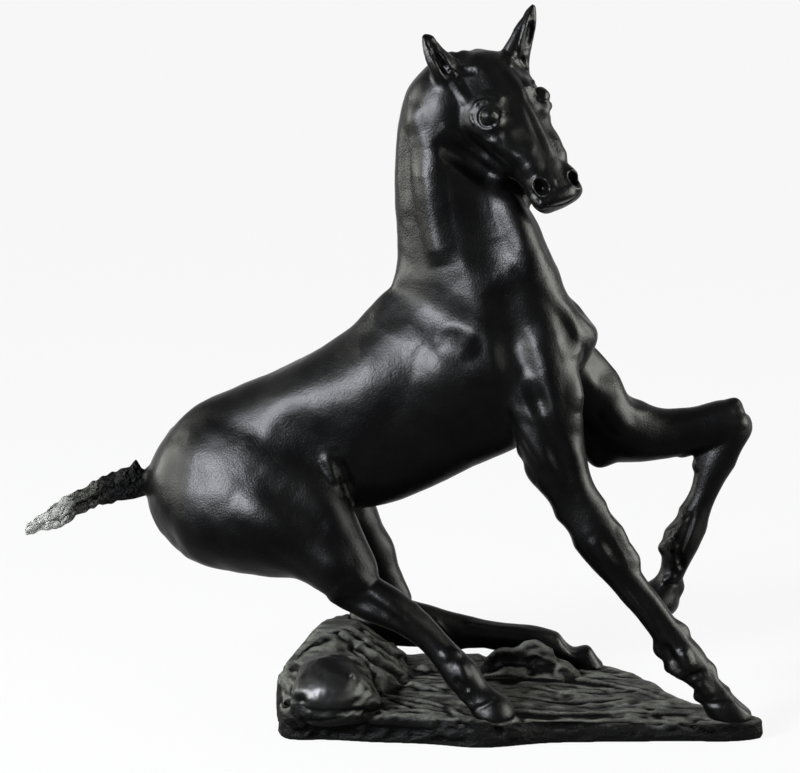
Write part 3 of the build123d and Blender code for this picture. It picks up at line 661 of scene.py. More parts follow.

# %% [markdown]
# Two castings meet at a flat joint. The frame knows where: it is where the points of one lie on the other.
# These joints are found now, and the clay is cut along them further down.

# %% Find the joints between the castings
touching = 0.00006
flat_within = 0.0002
fewest_points = 8
flattening_rounds = 3


def tree_of(node):
    """A casting's faces, in a form that finds the nearest of them quickly."""
    mesh = frame["nodes"][node].data
    return BVHTree.FromPolygons([v.co for v in mesh.vertices], [p.vertices for p in mesh.polygons])


def joint(limb, body):
    """The middle, direction and radius of the flat joint between two castings."""
    tree = tree_of(body)
    touches = [v.co for v in frame["nodes"][limb].data.vertices if tree.find_nearest(v.co)[3] < touching]
    points = np.unique(np.round(np.array(touches), 6), axis=0)
    for _ in range(flattening_rounds):
        middle = points.mean(0)
        direction = np.linalg.svd(points - middle)[2][2]
        flat = np.abs((points - middle) @ direction) < flat_within
        if flat.sum() < fewest_points:
            break
        points = points[flat]
    limb_box = np.array(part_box(limb))
    if (limb_box.mean(0) - middle) @ direction < 0:
        direction = -direction
    radius = np.linalg.norm(points - middle, axis=1).max()
    print(limb, "meets", body, "at", (middle * 1000).round(1), "facing", direction.round(2),
          "radius", round(radius * 1000, 1), "points", len(points))
    return middle, direction, radius


joints = {limb: joint(limb, body) for limb, body in castings_and_where_they_join.items()}

# %% [markdown]
# A finer mesh for the head: its faces are subdivided once, so that a stroke of a millimetre still has
# points to move. The new points start on the old flat faces, so they are evened out a little.

# %% Refine the head
face_and_ears = [((62, -30, 378), 44), ((92, -48, 338), 38), ((28, -30, 410), 24), ((76, -6, 424), 32)]


def within(places, balls):
    """Which points lie within any of these balls, each a middle and a radius in millimetres."""
    gaps = [np.linalg.norm(places * 1000 - middle, axis=1) < radius for middle, radius in balls]
    return np.any(gaps, axis=0)


with editing(foal, within(clay.places, face_and_ears)):
    bpy.ops.mesh.subdivide(number_cuts=1, quadcorner="INNERVERT")
clay = Clay(foal)
fine = np.flatnonzero(within(clay.places, face_and_ears))
clay.relax(times=3, chosen=fine)
clay.settle()
print("points of the clay:", len(clay.places), "of them in the head:", len(fine))

# %% [markdown]
# The face. Eyes and nostrils are stamps: a profile gives the height at each distance from the middle, so
# one short list makes eyeball, groove and lid. What the near side gets, the far side gets too, mirrored
# across the middle plane of the head.

# %% Work the face
head_middle = np.array((0.0694, -0.0333, 0.3762))
head_side = np.array((0.74, 0.62, 0.23))
head_side /= np.linalg.norm(head_side)
down_the_face = (0.51, -0.31, -0.80)


def head_twin(found):
    """The twin of a path on the far side of the head, set down on the surface there."""
    turned = found[0] - 2 * ((found[0] - head_middle) @ head_side)[:, None] * head_side
    hits = [foal.closest_point_on_mesh(Vector(place)) for place in turned]
    return clay.path([(np.array(h[1]), np.array(h[2])) if h[0] else None for h in hits], turned)


head_strokes = [
    ("temple sunk behind the brow", 11, -1.6, [(474, 84), (478, 92)]),
    ("brow", 5, 1.1, [(476, 100), (486, 95), (498, 97), (506, 104)]),
    ("dark plane before the eye", 9, -1.8, [(510, 108), (515, 126), (520, 142)]),
    ("cheek bone", 5, 1, [(478, 134), (496, 143), (514, 154), (528, 166)]),
    ("hollow under the cheek bone", 8, -1.4, [(488, 152), (506, 168), (520, 180)]),
    ("round of the jaw", 16, 1.4, [(450, 112), (458, 126)]),
    ("edge of the jaw", 5, 1.5, [(446, 128), (458, 139), (472, 150), (492, 165), (510, 180)]),
    ("hollow behind the jaw", 9, -2.4, [(432, 134), (448, 148), (466, 162), (486, 176), (500, 186)]),
    ("fold under the ear", 5, 1, [(456, 84), (461, 91), (465, 99)]),
    ("side of the nose", 9, 2, [(514, 134), (523, 149), (531, 165)]),
    ("corner of the mouth", 2, -1.2, [(531, 190), (537, 198), (542, 203)]),
    ("lower lip", 4, 1, [(532, 200), (540, 207)]),
    ("wing of the nostril", 3, 0.8, [(545, 176), (552, 181), (554, 190)]),
]
behind_the_jaw = clay.seen((452, 90), (447, 105), (446, 122), (450, 134))
for found in (behind_the_jaw, head_twin(behind_the_jaw)):
    clay.smooth(found[0], width=8, times=60)
top_of_the_head = clay.seen((453, 60), (464, 57), (476, 57), (488, 58))
clay.smooth(top_of_the_head[0], width=13, times=60)
clay.settle()
clay.work(head_strokes, twin=head_twin, settle=False)
middle_strokes = [
    ("top of the poll", 8, 1, [(468, 56), (474, 56)]),
    ("crease of the poll", 4, -1.2, [(458, 68), (468, 71), (478, 70)]),
    ("ridge of the nose", 5, 1.2, [(500, 62), (514, 80), (528, 102), (538, 124), (548, 146), (556, 162)]),
    ("dish of the forehead", 14, -1, [(492, 84), (503, 100)]),
    ("parting of the lips", 1.8, -1.3, [(544, 206), (552, 206), (560, 205), (568, 202), (575, 197)]),
    ("upper lip", 6, 0.9, [(552, 200), (562, 198), (570, 193)]),
]
clay.work(middle_strokes)
print("strokes of the head:", len(head_strokes), "on both sides and", len(middle_strokes), "in the middle")

# %% [markdown]
# The eyeball stands out of a groove, and a low ring round the groove is the lids. The nostril is a pit with
# a raised rim. Then come the lids and the folds round the eye, as finer strokes.

# %% Press in the eyes and nostrils
eye_profile = [(0, 2.7), (0.3, 2.5), (0.55, 1.9), (0.75, 0.8), (0.88, -0.8), (1.0, -0.6), (1.14, 0.15),
               (1.3, 0.3), (1.5, 0.15), (1.75, 0.0)]
nostril_profile = [(0, -6.0), (0.3, -5.0), (0.6, -3.2), (0.85, -1.0), (1.0, 0.4), (1.2, 0.8), (1.5, 0.2),
                   (1.8, 0)]
eye_pixel = (488, 115)
near_eye = clay.seen(eye_pixel)
for found in (near_eye, head_twin(near_eye)):
    clay.stamp(found, eye_profile, radius=6.6, long_way=down_the_face, length=0.9, bend=-0.4)
for nostril_pixel in ((541, 187), (574, 179)):
    clay.stamp(clay.seen(nostril_pixel), nostril_profile, radius=4.0, long_way=down_the_face, length=1.25)
clay.settle()
lid_strokes = [
    ("upper lid", 2.4, 1.3, [(473, 110), (478, 103), (486, 101), (494, 103)]),
    ("lower lid", 1.8, 0.8, [(496, 124), (501, 118), (502, 110)]),
    ("bag under the eye", 3, 0.4, [(478, 127), (488, 130), (497, 128)]),
    ("wrinkles of the corner", 2, 0.7, [(470, 112), (472, 120), (476, 126)]),
    ("furrow below", 2.2, -0.2, [(480, 135), (489, 138), (499, 136)]),
    ("fold below", 2.4, 0.15, [(482, 140), (492, 143), (502, 140)]),
]
clay.work(lid_strokes, twin=head_twin)
print("eye at:", near_eye[0].round(4))

# %% [markdown]
# Each ear is a shell with a deep hollow, open to the front. The hollow is sunk in steps, and its rims are
# raised beside it.

# %% Hollow the ears
ear_strokes = [
    ("hollow of the right ear", 4.4, -2.4, [(431, 46), (437, 56), (444, 67), (449, 76)]),
    ("deeper in the right ear", 3, -1.4, [(434, 52), (440, 62), (446, 71)]),
    ("left rim of the right ear", 1.8, 1, [(426, 42), (430, 54), (437, 68), (443, 78)]),
    ("right rim of the right ear", 1.8, 0.8, [(431, 40), (441, 53), (451, 66)]),
    ("knob in the right ear", 2.4, 1.4, [(451, 71), (454, 74)]),
    ("hollow of the left ear", 3.6, -2.2, [(532, 18), (530, 34), (527, 50)]),
    ("deeper in the left ear", 2.4, -1.2, [(532, 24), (529, 42)]),
    ("inner rim of the left ear", 1.6, 1, [(528, 16), (524, 30), (520, 44), (519, 54)]),
    ("foot of the left ear", 3.5, 1, [(513, 56), (510, 64)]),
    ("hollow at the foot", 3, -1.2, [(522, 60), (526, 66)]),
]
for ear_stroke in ear_strokes:
    clay.work([ear_stroke])
print("strokes of the ears:", len(ear_strokes))

# %% [markdown]
# The legs have bone close under the skin: tendons behind the cannons, knees, fetlocks, and the edge where
# the hoof's wall begins. These strokes are narrow, and each follows its own leg.

# %% Work the legs
leg_strokes = [
    # near foreleg
    ("knee, outer bone", 7, 1.2, [(622, 532), (630, 546)]),
    ("knee, inner bone", 7, 1.2, [(588, 536), (600, 552), (612, 562)]),
    ("hollow of the knee", 5, -1.4, [(604, 536), (613, 553), (622, 566)]),
    ("splint", 4, 1, [(602, 566), (622, 590), (642, 614), (656, 636)]),
    ("tendon groove", 3.5, -1, [(618, 574), (636, 596), (654, 620), (666, 640)]),
    ("front of the cannon", 5, 0.8, [(640, 580), (660, 606), (684, 638), (696, 654)]),
    ("dark hollow over the fetlock", 6, -2.6, [(666, 650), (671, 660)]),
    ("fetlock", 5.5, 2.2, [(684, 655), (688, 664)]),
    ("bulb behind the fetlock", 4.5, 1.4, [(662, 664), (672, 672), (680, 674)]),
    ("crease under the fetlock", 3.4, -2.4, [(686, 678), (696, 675), (704, 672)]),
    ("pastern", 5, 1.8, [(702, 686), (707, 692)]),
    ("coronet", 2.4, -0.9, [(704, 702), (712, 704), (724, 703), (734, 700)]),
    ("front of the pastern", 4, 0.8, [(712, 668), (720, 684), (730, 698)]),
    # raised foreleg
    ("knee cap", 6, 1, [(742, 412), (744, 422)]),
    ("muscle of the far forearm", 9, 1.2, [(612, 412), (622, 424)]),
    ("tendon", 2.8, 2, [(688, 514), (680, 528), (674, 540)]),
    ("groove before the tendon", 3, -2, [(694, 512), (688, 530), (682, 546), (678, 560)]),
    ("fetlock knob", 3.6, 1.8, [(672, 542), (674, 548)]),
    ("hollow of the pastern", 3.4, -2.2, [(680, 556), (682, 566)]),
    ("bulb of the heel", 3.4, 1.3, [(665, 580), (672, 577)]),
    ("coronet of the raised hoof", 2, -1, [(661, 590), (670, 584), (680, 583)]),
    # near hind leg
    ("hock, upper highlight", 5, 1, [(446, 656), (456, 652)]),
    ("fetlock of the hind leg", 5, 1.2, [(461, 668), (464, 676)]),
    ("hollow over the heel", 3.5, -1.4, [(458, 682), (466, 688)]),
    ("heel", 4.5, 1.2, [(462, 698), (470, 706)]),
    ("hind coronet", 2.6, -1, [(474, 710), (484, 706), (496, 700)]),
    ("front edge of the shank", 3, 0.9, [(416, 604), (436, 622), (458, 646), (472, 664)]),
    ("Achilles hollow", 5, -1.2, [(350, 600), (372, 606), (392, 618)]),
    # far hind leg
    ("ridge of the far shank", 4, 0.9, [(428, 616), (470, 624), (520, 630), (560, 640)]),
    ("far fetlock", 4, 0.8, [(566, 648), (572, 654)]),
]
clay.work(leg_strokes)
print("strokes of the legs:", len(leg_strokes))

# %% [markdown]
# Last comes the hand's unevenness: broad swellings all over, and small ones that catch the light as
# speckles. The face keeps less of it.

# %% Give the skin the hand's unevenness
head_share, head_reach = 0.45, 0.06
amount = np.ones(len(clay.places))
amount[np.linalg.norm(clay.places - head_middle, axis=1) < head_reach] = head_share
skin_layers = [(17, 0.42, 1), (8, 0.16, 2), (3.2, 0.05, 3)]
for size, height, seed in skin_layers:
    clay.places += clay.normals * (swell(clay.places, size, seed) * amount * height / 1000)[:, None]
wrinkled_reach, wrinkle_size, wrinkle_seed, wrinkle_height = 0.012, 2.4, 4, 0.32
near_eye = clay.seen(eye_pixel)
for found in (near_eye, head_twin(near_eye)):
    chosen, weights = clay.near(found[0], wrinkled_reach)
    wrinkles = swell(clay.places[chosen], wrinkle_size, wrinkle_seed) * held(weights, slope=2)
    clay.places[chosen] += clay.normals[chosen] * (wrinkles * wrinkle_height / 1000)[:, None]
clay.settle()

# %% [markdown]
# The pins and plugs that lock the castings end under the skin, where they are chased flush and can't be
# seen. Where the clay was sunk below such an end, it is raised again until it covers it.

# %% Cover the ends of the pins
cover, cover_width, cover_ease, cover_rounds = 0.0004, 0.012, 0.7, 4
pin_reach = 0.004
above_the_base = 0.022
pin_places = np.concatenate([
    np.unique(np.round([v.co for v in frame["nodes"][node].data.vertices], 5), axis=0)
    for node in ("body_joint_pins", "leg_joint_pins", "ear_and_tail_pins", "core_plugs", "hoof_studs")
])
pin_places = pin_places[pin_places[:, 2] > above_the_base]
for _ in range(cover_rounds):
    raised = 0
    for place in pin_places:
        found, spot, normal, _ = foal.closest_point_on_mesh(Vector(place), distance=pin_reach)
        stands_out = (Vector(place) - spot).dot(normal) if found else -1
        if -cover < stands_out < pin_reach:
            chosen, weights = clay.near(place[None], cover_width)
            above = (clay.places[chosen] - place) @ np.array(normal)
            now = (above * weights).sum() / max(weights.sum(), 1e-9)
            if now < cover:
                clay.places[chosen] += np.outer(weights * (cover - now) * cover_ease, normal)
                raised += 1
    clay.settle()
    print("pin ends raised over:", raised)

# %% [markdown]
# The figure was cast in sections, and each stays a piece of its own. The clay is cut along each joint: the
# faces around it are bisected by its plane, the new edges are split, and the loose parts are separated
# and closed. So that no joint shows, as on the chased bronze, each piece then takes its shading from the
# uncut clay.

# %% Cut the clay along its joints
cut = bpy.data.objects.new("cut_clay", foal.data.copy())
bpy.context.scene.collection.objects.link(cut)
bisect_wider, bisect_depth = 1.3, 0.004
ear_foot = 0.0025


def bisect_at(middle, direction, radius):
    """Cut the clay across at one joint only, and part it there."""
    offset = as_array(cut.data.vertices, "co") - middle
    across = np.linalg.norm(offset - np.outer(offset @ direction, direction), axis=1)
    beside = np.abs(offset @ direction)
    with editing(cut, (across < radius * bisect_wider) & (beside < bisect_depth)):
        bpy.ops.mesh.bisect(plane_co=middle, plane_no=direction, threshold=merge_distance)
        bpy.ops.mesh.edge_split(type="EDGE")


for limb, (middle, direction, radius) in joints.items():
    bisect_at(middle + direction * ear_foot * limb.endswith("ear"), direction, radius)
with editing(cut):
    bpy.ops.mesh.separate(type="LOOSE")
parts = list(bpy.context.selected_objects)
print("parts of the cut clay:", [len(part.data.vertices) for part in parts])

# %% [markdown]
# Each loose part is named by the casting that it dresses: some of its points vote for the casting nearest
# to them. Its cut ends are closed with flat faces, so that every piece stays a closed body.

# %% Name, close and shade each part
voters = 60
trees = {node: tree_of(node) for node in foal_nodes}
foal_pieces = {}
for part in parts:
    count = len(part.data.vertices)
    sample = [part.data.vertices[index].co for index in range(0, count, max(1, count // voters))]
    votes = [min(foal_nodes, key=lambda node: trees[node].find_nearest(co)[3]) for co in sample]
    node = max(set(votes), key=votes.count)
    if node in foal_pieces:
        print("a second part for", node, "of", count, "points")
        bpy.data.objects.remove(part)
        continue
    foal_pieces[node] = part
    part.name = "bronze_" + node
    with editing(part):
        bpy.ops.mesh.fill_holes(sides=0)
    apply_modifier(part, "DATA_TRANSFER", object=foal, use_loop_data=True,
                   data_types_loops={"CUSTOM_NORMAL"}, loop_mapping="POLYINTERP_NEAREST")
    print(part.name, "triangles:", triangle_count(part))
bpy.data.objects.remove(foal)

# %% [markdown]
# The ground was pulled and pressed in clay before it was cast: a glossy boulder at the front left, a crag
# behind it, a folded mound under the far leg, and between them streaks that fingers drew. First come the
# named forms, as strokes; then streaks, bands and lumps from the random heights.

# %% Take the rocky base as clay
base = copy_of("base_clay", "base_casting")
boulder_middle = np.array((-0.0375, -0.043, 0.0305))
boulder_axes = np.array((21, 28, 19))
bpy.ops.object.select_all(action="DESELECT")
bpy.ops.mesh.primitive_uv_sphere_add(segments=64, ring_count=32, radius=0.001, location=boulder_middle,
                                     scale=boulder_axes)
bpy.ops.object.transform_apply()
activate(base, bpy.context.object)
bpy.ops.object.join()
rock = as_clay(base, times=8)
rock.settle()

rock_nudges = [
    ((280, 708), -30, 8, 0, 22), ((298, 648), -30, -4, -2, 14), ((328, 617), -10, 0, 5, 14),
    ((408, 652), 20, 0, -10, 15), ((640, 682), 30, 0, 2, 20), ((498, 656), 28, 0, -13, 15),
    ((534, 655), 28, 0, -12, 18), ((556, 664), 28, 0, -5, 12), ((376, 688), -56, -7, 2, 12),
    ((287, 692), -56, 5, 2, 10),
]
foot_height = 0.001
foot = rock.places[:, 2] < foot_height
standing = rock.places[foot]
for pixel, y, across, down, width in rock_nudges:
    rock.nudge(pixel, y, across, down, width)
rock.places[foot] = standing
rock.settle()


def from_boulder():
    """How far each point is from the boulder's middle, 1 on its surface."""
    return np.linalg.norm((rock.places - boulder_middle) * 1000 / boulder_axes, axis=1)


blend_reach, blend_slope, blend_above = 1.5, 4, 0.008
far = from_boulder()
blended = np.flatnonzero((far < blend_reach) & (rock.places[:, 2] > blend_above))
rock.relax(60, blended, held(blend_reach - far[blended], blend_slope))
rock.settle()

rock_strokes = [
    ("notch at the left end", 6, -3, [(286, 700), (300, 702)]),
    ("groove under the boulder", 3.4, -1.8, [(284, 705), (306, 710), (332, 712), (360, 711), (392, 708)]),
    ("crease right of the boulder", 4, -2.2, [(352, 648), (366, 660), (374, 674), (378, 692)]),
    ("ledge", 5, 1.8, [(312, 722), (345, 721), (375, 719), (405, 721), (432, 724)]),
    ("hollow over the ledge", 4, -1.6, [(390, 700), (412, 707), (440, 712)]),
    ("corner stone", 7, 2, [(290, 716), (300, 722)]),
    ("first strand of the crag", 3.4, 2, [(287, 670), (301, 652), (316, 638), (332, 630)]),
    ("rim of the crag", 4, 2.4, [(320, 630), (338, 626), (354, 632), (368, 642)]),
    ("drawn ridge", 4.5, 2.8, [(344, 636), (362, 648), (382, 662), (402, 676), (424, 690)]),
    ("second drawn ridge", 4, 2.4, [(366, 634), (384, 646), (402, 658), (424, 670)]),
    ("dark pocket", 5, -3, [(354, 644), (372, 658), (390, 670), (408, 684)]),
    ("pocket by the shank", 4, -2.6, [(392, 654), (402, 660)]),
    ("streak one", 3, 1.6, [(352, 676), (380, 690), (410, 700), (440, 706)]),
    ("streak two", 3, 1.5, [(388, 676), (412, 686), (440, 692)]),
    ("streak three", 3, 1.4, [(404, 670), (426, 678), (444, 680)]),
    ("lump by the heel", 4.5, 2.4, [(452, 710), (458, 716)]),
    ("lump under the hoof", 5, 2.6, [(474, 722), (486, 724)]),
    ("lump before the hoof", 4, 2.2, [(510, 716), (518, 722)]),
    ("pit by the lump", 4, -2.2, [(462, 724), (468, 728)]),
    ("pit before the lump", 3.5, -2, [(496, 730), (502, 732)]),
    ("fold of the mound", 4, 3, [(488, 660), (498, 651), (510, 649), (522, 651), (536, 647), (550, 653)]),
    ("hollow of the mound", 6, -3, [(494, 664), (512, 660), (530, 662), (552, 668)]),
    ("second fold of the mound", 4, 2, [(486, 676), (508, 672), (534, 678), (560, 680)]),
    ("swirl one", 3.5, 1.5, [(500, 690), (530, 688), (566, 694), (600, 692)]),
    ("swirl two", 3.5, -1.3, [(510, 698), (545, 700), (580, 702), (620, 700)]),
    ("swirl three", 3.5, 1.4, [(580, 680), (610, 684), (640, 692), (660, 700)]),
    ("swirl four", 3, -1.3, [(560, 672), (590, 678), (622, 680)]),
    ("front edge", 4, 1.6, [(512, 710), (545, 713), (590, 712), (640, 712), (690, 714)]),
    ("under the front edge", 5, -1.8, [(520, 722), (560, 724), (610, 723), (660, 722)]),
    ("pit in the front", 4, -2, [(684, 722), (694, 724)]),
    ("lump in the front", 4, 1.8, [(700, 722), (710, 726)]),
]
rock.work(rock_strokes, taper=False)

# %% [markdown]
# What faces up gets streaks, long and low as fingers leave them, and the sides of the base get bands. The
# crag at its left end has strands that lean, as if drawn up by a hand. A warp bends them all a little,
# lumps lie over everything, and the boulder has only small dents. The foot stays flat.

# %% Draw the streaks, bands and lumps of the ground
def rising(values, start, length):
    """0 up to the start, 1 from a length after it, and even between."""
    return held((values - start) / length)


off_boulder = rising(from_boulder(), start=1.05, length=0.15)
upward = held(rock.normals[:, 2], slope=1.4, offset=-0.2)
sideways = held(np.abs(rock.normals[:, 2]), slope=-1.3, offset=1)
above_floor = rising(rock.places[:, 2], start=foot_height, length=0.003)
outside = rock.normals[:, 2] > -0.4
lean = math.radians(-24)
leaning = np.array([[math.cos(lean), 0, math.sin(lean)], [0, 1, 0], [-math.sin(lean), 0, math.cos(lean)]])
crag_share = rising(-rock.places[:, 0], start=-0.02, length=0.02)
crag_share_of_side = crag_share * 0.5
drawn = rock.places.copy()
warp_layers = [(24, 0.012, (21, 22, 23)), (9, 0.003, (24, 25, 26))]
for size, reach, seeds in warp_layers:
    drawn += np.stack([swell(rock.places, size, seed) for seed in seeds], axis=1) * reach
usual_strength, strength_swing = 0.65, 0.55
strength = usual_strength + strength_swing * swell(rock.places, size=22, seed=27)
fine_streaks = heights(drawn, (swell, (20, 14, 9), 12, 1.4), (ridged, (30, 20, 9), 29, 0.7),
                       (swell, (8, 6, 4), 28, 0.45))
streaks = heights(drawn, (swell, (40, 30, 20), 11, 2.6)) + fine_streaks * strength
strands = heights(drawn @ leaning, (ridged, (38, 9, 8), 15, 1.2))
strands += heights(drawn @ leaning, (swell, (18, 4, 4), 16, 0.8)) * strength
bands = heights(drawn, (ridged, (44, 30, 6), 14, 0.9)) + heights(rock.places, (swell, (7, 7, 4), 17, 0.5))
lumps = heights(rock.places, (swell, 10, 13, 0.6), (swell, 3.5, 18, 0.18))
dents = heights(rock.places, (swell, 7, 19, 0.7), (swell, 2.6, 20, 0.16))
relief = upward * (streaks * (1 - crag_share) + strands * crag_share)
relief += sideways * (bands * (1 - crag_share_of_side) + strands * crag_share_of_side)
relief = (relief + lumps) * off_boulder + dents * (1 - off_boulder)
rock.places += rock.normals * (relief * above_floor * outside / 1000)[:, None]
base_low, base_high = np.array(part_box("base_casting"))
rock.places = np.clip(rock.places, base_low, base_high)
rock.settle()
print("relief of the ground, in mm:", relief.min().round(1), "to", relief.max().round(1))

# %% [markdown]
# A pale grey-green mark lies on the ground, partly dust left by a broad brush of wax and partly a painted
# reflection of the light that grazes the tops: it is on what faces up and stands higher, more on crests than
# in furrows, and not on the boulder. A crest is what stands above the same ground evened out. The mark is
# worked out for each point here and kept on the mesh as an attribute, which the material reads.

# %% Settle the dust and the painted reflection
even = Clay(base)
even.relax(times=24)
crest = ((rock.places - even.places) * rock.normals).sum(axis=1) * 1000


def keep_as(name, values):
    """Keep a value for each point of the base, for its material to read."""
    attribute = base.data.attributes.new(name, "FLOAT", "POINT")
    attribute.data.foreach_set("value", np.asarray(values, dtype=np.float32))


# painted reflection: more of the pale mark on higher ground and on what faces up, where grazing light catches
# it; the rest of it is dust
higher = rising(rock.places[:, 2], start=0.014, length=0.006)
more_when_higher = 1.1
lies_flat = held(rock.normals[:, 2] * 2.4 - 1.3 + more_when_higher * higher)
keep_as("dust_and_reflection", lies_flat * held(crest, slope=2.4, offset=0.55) * off_boulder)
keep_as("crest", held(crest, slope=3, offset=0.5))
keep_as("boulder", 1 - off_boulder)
rock.settle()

# %% [markdown]
# The tail is a thin, crumpled sheet, dark at its root and pale at its ragged tip, a paleness that is partly
# bare metal and partly a painted reflection. It starts as a flat grid.
# Each of its points is set between a top and a bottom line, as the photograph shows them, and bulges
# towards the viewer like a gutter; random heights crumple it, and Solidify gives it its thickness.

# %% Crumple the tail
tail_top = [(150, 472), (141, 468), (136, 459), (130, 467), (112, 471), (92, 483), (79, 489), (64, 495),
            (57, 503), (42, 513), (32, 520), (24, 528)]
tail_bottom = [(150, 494), (133, 499), (115, 501), (99, 505), (89, 510), (76, 515), (71, 520), (56, 530),
               (42, 529), (33, 533), (24, 535)]
tail_length, tail_width, tail_thickness = 90, 16, 0.0012
tail_depth_root, tail_depth_tip, tail_bulge = 12, 5, 5.0
tip_room = 0.0008


def along_line(line, shares):
    """Places at these shares of the way along a line of pixels."""
    line = np.array(line, float)
    runs = np.concatenate([[0], np.cumsum(np.linalg.norm(np.diff(line, axis=0), axis=1))])
    return np.stack([np.interp(shares * runs[-1], runs, line[:, axis]) for axis in (0, 1)], axis=1)


bpy.ops.object.select_all(action="DESELECT")
bpy.ops.mesh.primitive_grid_add(x_subdivisions=96, y_subdivisions=28, size=2)
tail = bpy.context.object
tail.name = "bronze_tail"
grid = np.array([v.co for v in tail.data.vertices])
way = (1 - grid[:, 0]) / 2
aside = (1 - grid[:, 1]) / 2
top, bottom = along_line(tail_top, way), along_line(tail_bottom, way)
seen_at = top + (bottom - top) * aside[:, None]
flat_place = np.stack([way * tail_length, aside * tail_width, np.zeros(len(way))], axis=1) / 1000
edge_rag, tip_rag = 2.2, 4
near_edges = (np.abs(aside - 0.5) * 2) ** 4
rag = near_edges * held(way, slope=5, offset=-0.3)
seen_at[:, 1] += rag * swell(flat_place, size=(3.2, 50, 9), seed=31) * edge_rag
near_tip = held(way, slope=8, offset=-7)
seen_at[:, 0] += near_tip * swell(flat_place, size=(50, 2.6, 9), seed=32) * tip_rag
depth = tail_depth_root + (tail_depth_tip - tail_depth_root) * way - tail_bulge * np.sin(aside * math.pi)
loosening, looseness_at_root = 4, 0.2
loose = np.clip(way * loosening, looseness_at_root, 1)
depth += heights(flat_place, (swell, (9, 5, 9), 33, 2.4), (ridged, (12, 3.5, 9), 34, 1.6),
                 (ridged, (4.5, 2.6, 9), 35, 0.9)) * loose
places = np.array([behind(pixel, y) for pixel, y in zip(seen_at, depth)])
places[:, 0] = np.maximum(places[:, 0], cad_box[0][0] + tip_room)
tail.data.vertices.foreach_set("co", places.ravel())
tail.data.update()
apply_modifier(tail, "SOLIDIFY", thickness=tail_thickness, offset=0)
apply_modifier(tail, "SUBSURF", levels=1, render_levels=1)
with editing(tail):
    bpy.ops.mesh.normals_make_consistent(inside=False)
bpy.ops.object.shade_smooth()
print("tail triangles:", triangle_count(tail))

# %% [markdown]
# The patina is nearly black, and waxed: its own colour hardly shows, and its form is read from reflections.
# A fine grain breaks these into speckles. On crests it is rubbed a little smoother and browner.

# %% Patina of the foal
patina = Finish("foal_patina")
grain = patina.noise(scale=850, detail=3.0, roughness=0.65)
clouds = patina.noise(scale=26, detail=4.0, roughness=0.6)
rubbed = patina.ramp(patina.pointiness(), low=0.51, high=0.58)
deep_black, worn_black = (0.0005, 0.0005, 0.0007, 1), (0.0014, 0.0014, 0.0013, 1)
brown = (0.008, 0.007, 0.006, 1)
brown_on_edges, polish_on_edges = 0.6, 0.05
black = patina.mixed(patina.ramp(clouds, low=0.35, high=0.7), deep_black, worn_black)
patina.set(
    Base_Color=patina.mixed(rubbed * brown_on_edges, black, brown),
    Roughness=patina.ramp(clouds, low=0.3, high=0.7, out_low=0.27, out_high=0.36) - rubbed * polish_on_edges,
    Specular_IOR_Level=0.035,
    Sheen_Weight=0.03,
    Sheen_Roughness=0.3,
    Sheen_Tint=(0.86, 0.88, 0.74, 1),
    Normal=patina.bump(grain, distance=0.0002),
)
for piece in foal_pieces.values():
    piece.data.materials.append(patina.material)

# %% [markdown]
# The tail's patina turns from black at its root to grey-green, and to pale at its tip, with a
# ragged border. The pale tip is partly bare metal and partly a painted reflection of the bright room. Two
# ramps along the tail place the borders, and a noise breaks them into flakes.

# %% Patina of the tail
# the pale tip colour is partly bare metal and partly a painted reflection of the bright room
black_root, pale_tip_metal_and_reflection = (0.001, 0.001, 0.001, 1), (0.38, 0.385, 0.355, 1)
dark_green, light_green = (0.012, 0.0125, 0.01, 1), (0.07, 0.072, 0.06, 1)
tail_patina = Finish("tail_patina")
position = tail_patina.node("ShaderNodeSeparateXYZ", {}, {"Vector": tail_patina.coordinates})
along_tail = Wire(tail_patina, position.outputs["X"])
tip_share = tail_patina.ramp(along_tail, low=-0.212, high=-0.18, out_low=1.0, out_high=0.0)
middle_share = tail_patina.ramp(along_tail, low=-0.186, high=-0.17, out_low=1.0, out_high=0.0)
flakes = tail_patina.noise(scale=240, detail=4.0, roughness=0.7)
flake_reach = 0.9
# where the pale tip colour shows: partly bare metal, partly a painted reflection
pale = tail_patina.ramp(tip_share + flakes * flake_reach - flake_reach / 2, low=0.25, high=0.75)
grey_green = tail_patina.mixed(tail_patina.ramp(flakes, low=0.4, high=0.6), dark_green, light_green)
dark_or_green = tail_patina.mixed(middle_share, black_root, grey_green)
tail_patina.set(
    Base_Color=tail_patina.mixed(pale * tip_share, dark_or_green, pale_tip_metal_and_reflection),
    Roughness=tail_patina.ramp(flakes, low=0.3, high=0.7, out_low=0.4, out_high=0.65),
    Specular_IOR_Level=0.02,
    Normal=tail_patina.bump(tail_patina.ridges(170, tail_patina.coordinates), distance=0.0016),
)
tail.data.materials.append(tail_patina.material)

# %% [markdown]
# The ground has the same black patina under grey-green dust, which is partly a painted reflection on its tops
# and crests. The boulder is polished bare of it.

# %% Patina of the ground
ground = Finish("ground_patina")
dust_and_reflection_on, crest_on, boulder_on = ground.kept("dust_and_reflection"), ground.kept("crest"), ground.kept("boulder")
smears = ground.noise(scale=90, detail=5.0, roughness=0.65, coordinates=ground.stretched(0.4, 1.4, 1.4))
specks = ground.noise(scale=700, detail=3.0, roughness=0.6)
ridge_share, speck_share = 0.7, 0.4
grit = ground.ridges(60, ground.stretched(0.6, 0.8, 1.0)) * ridge_share + specks * speck_share
smear_share, speck_contrast, least_dust_and_reflection = 0.75, 1.4, 0.3
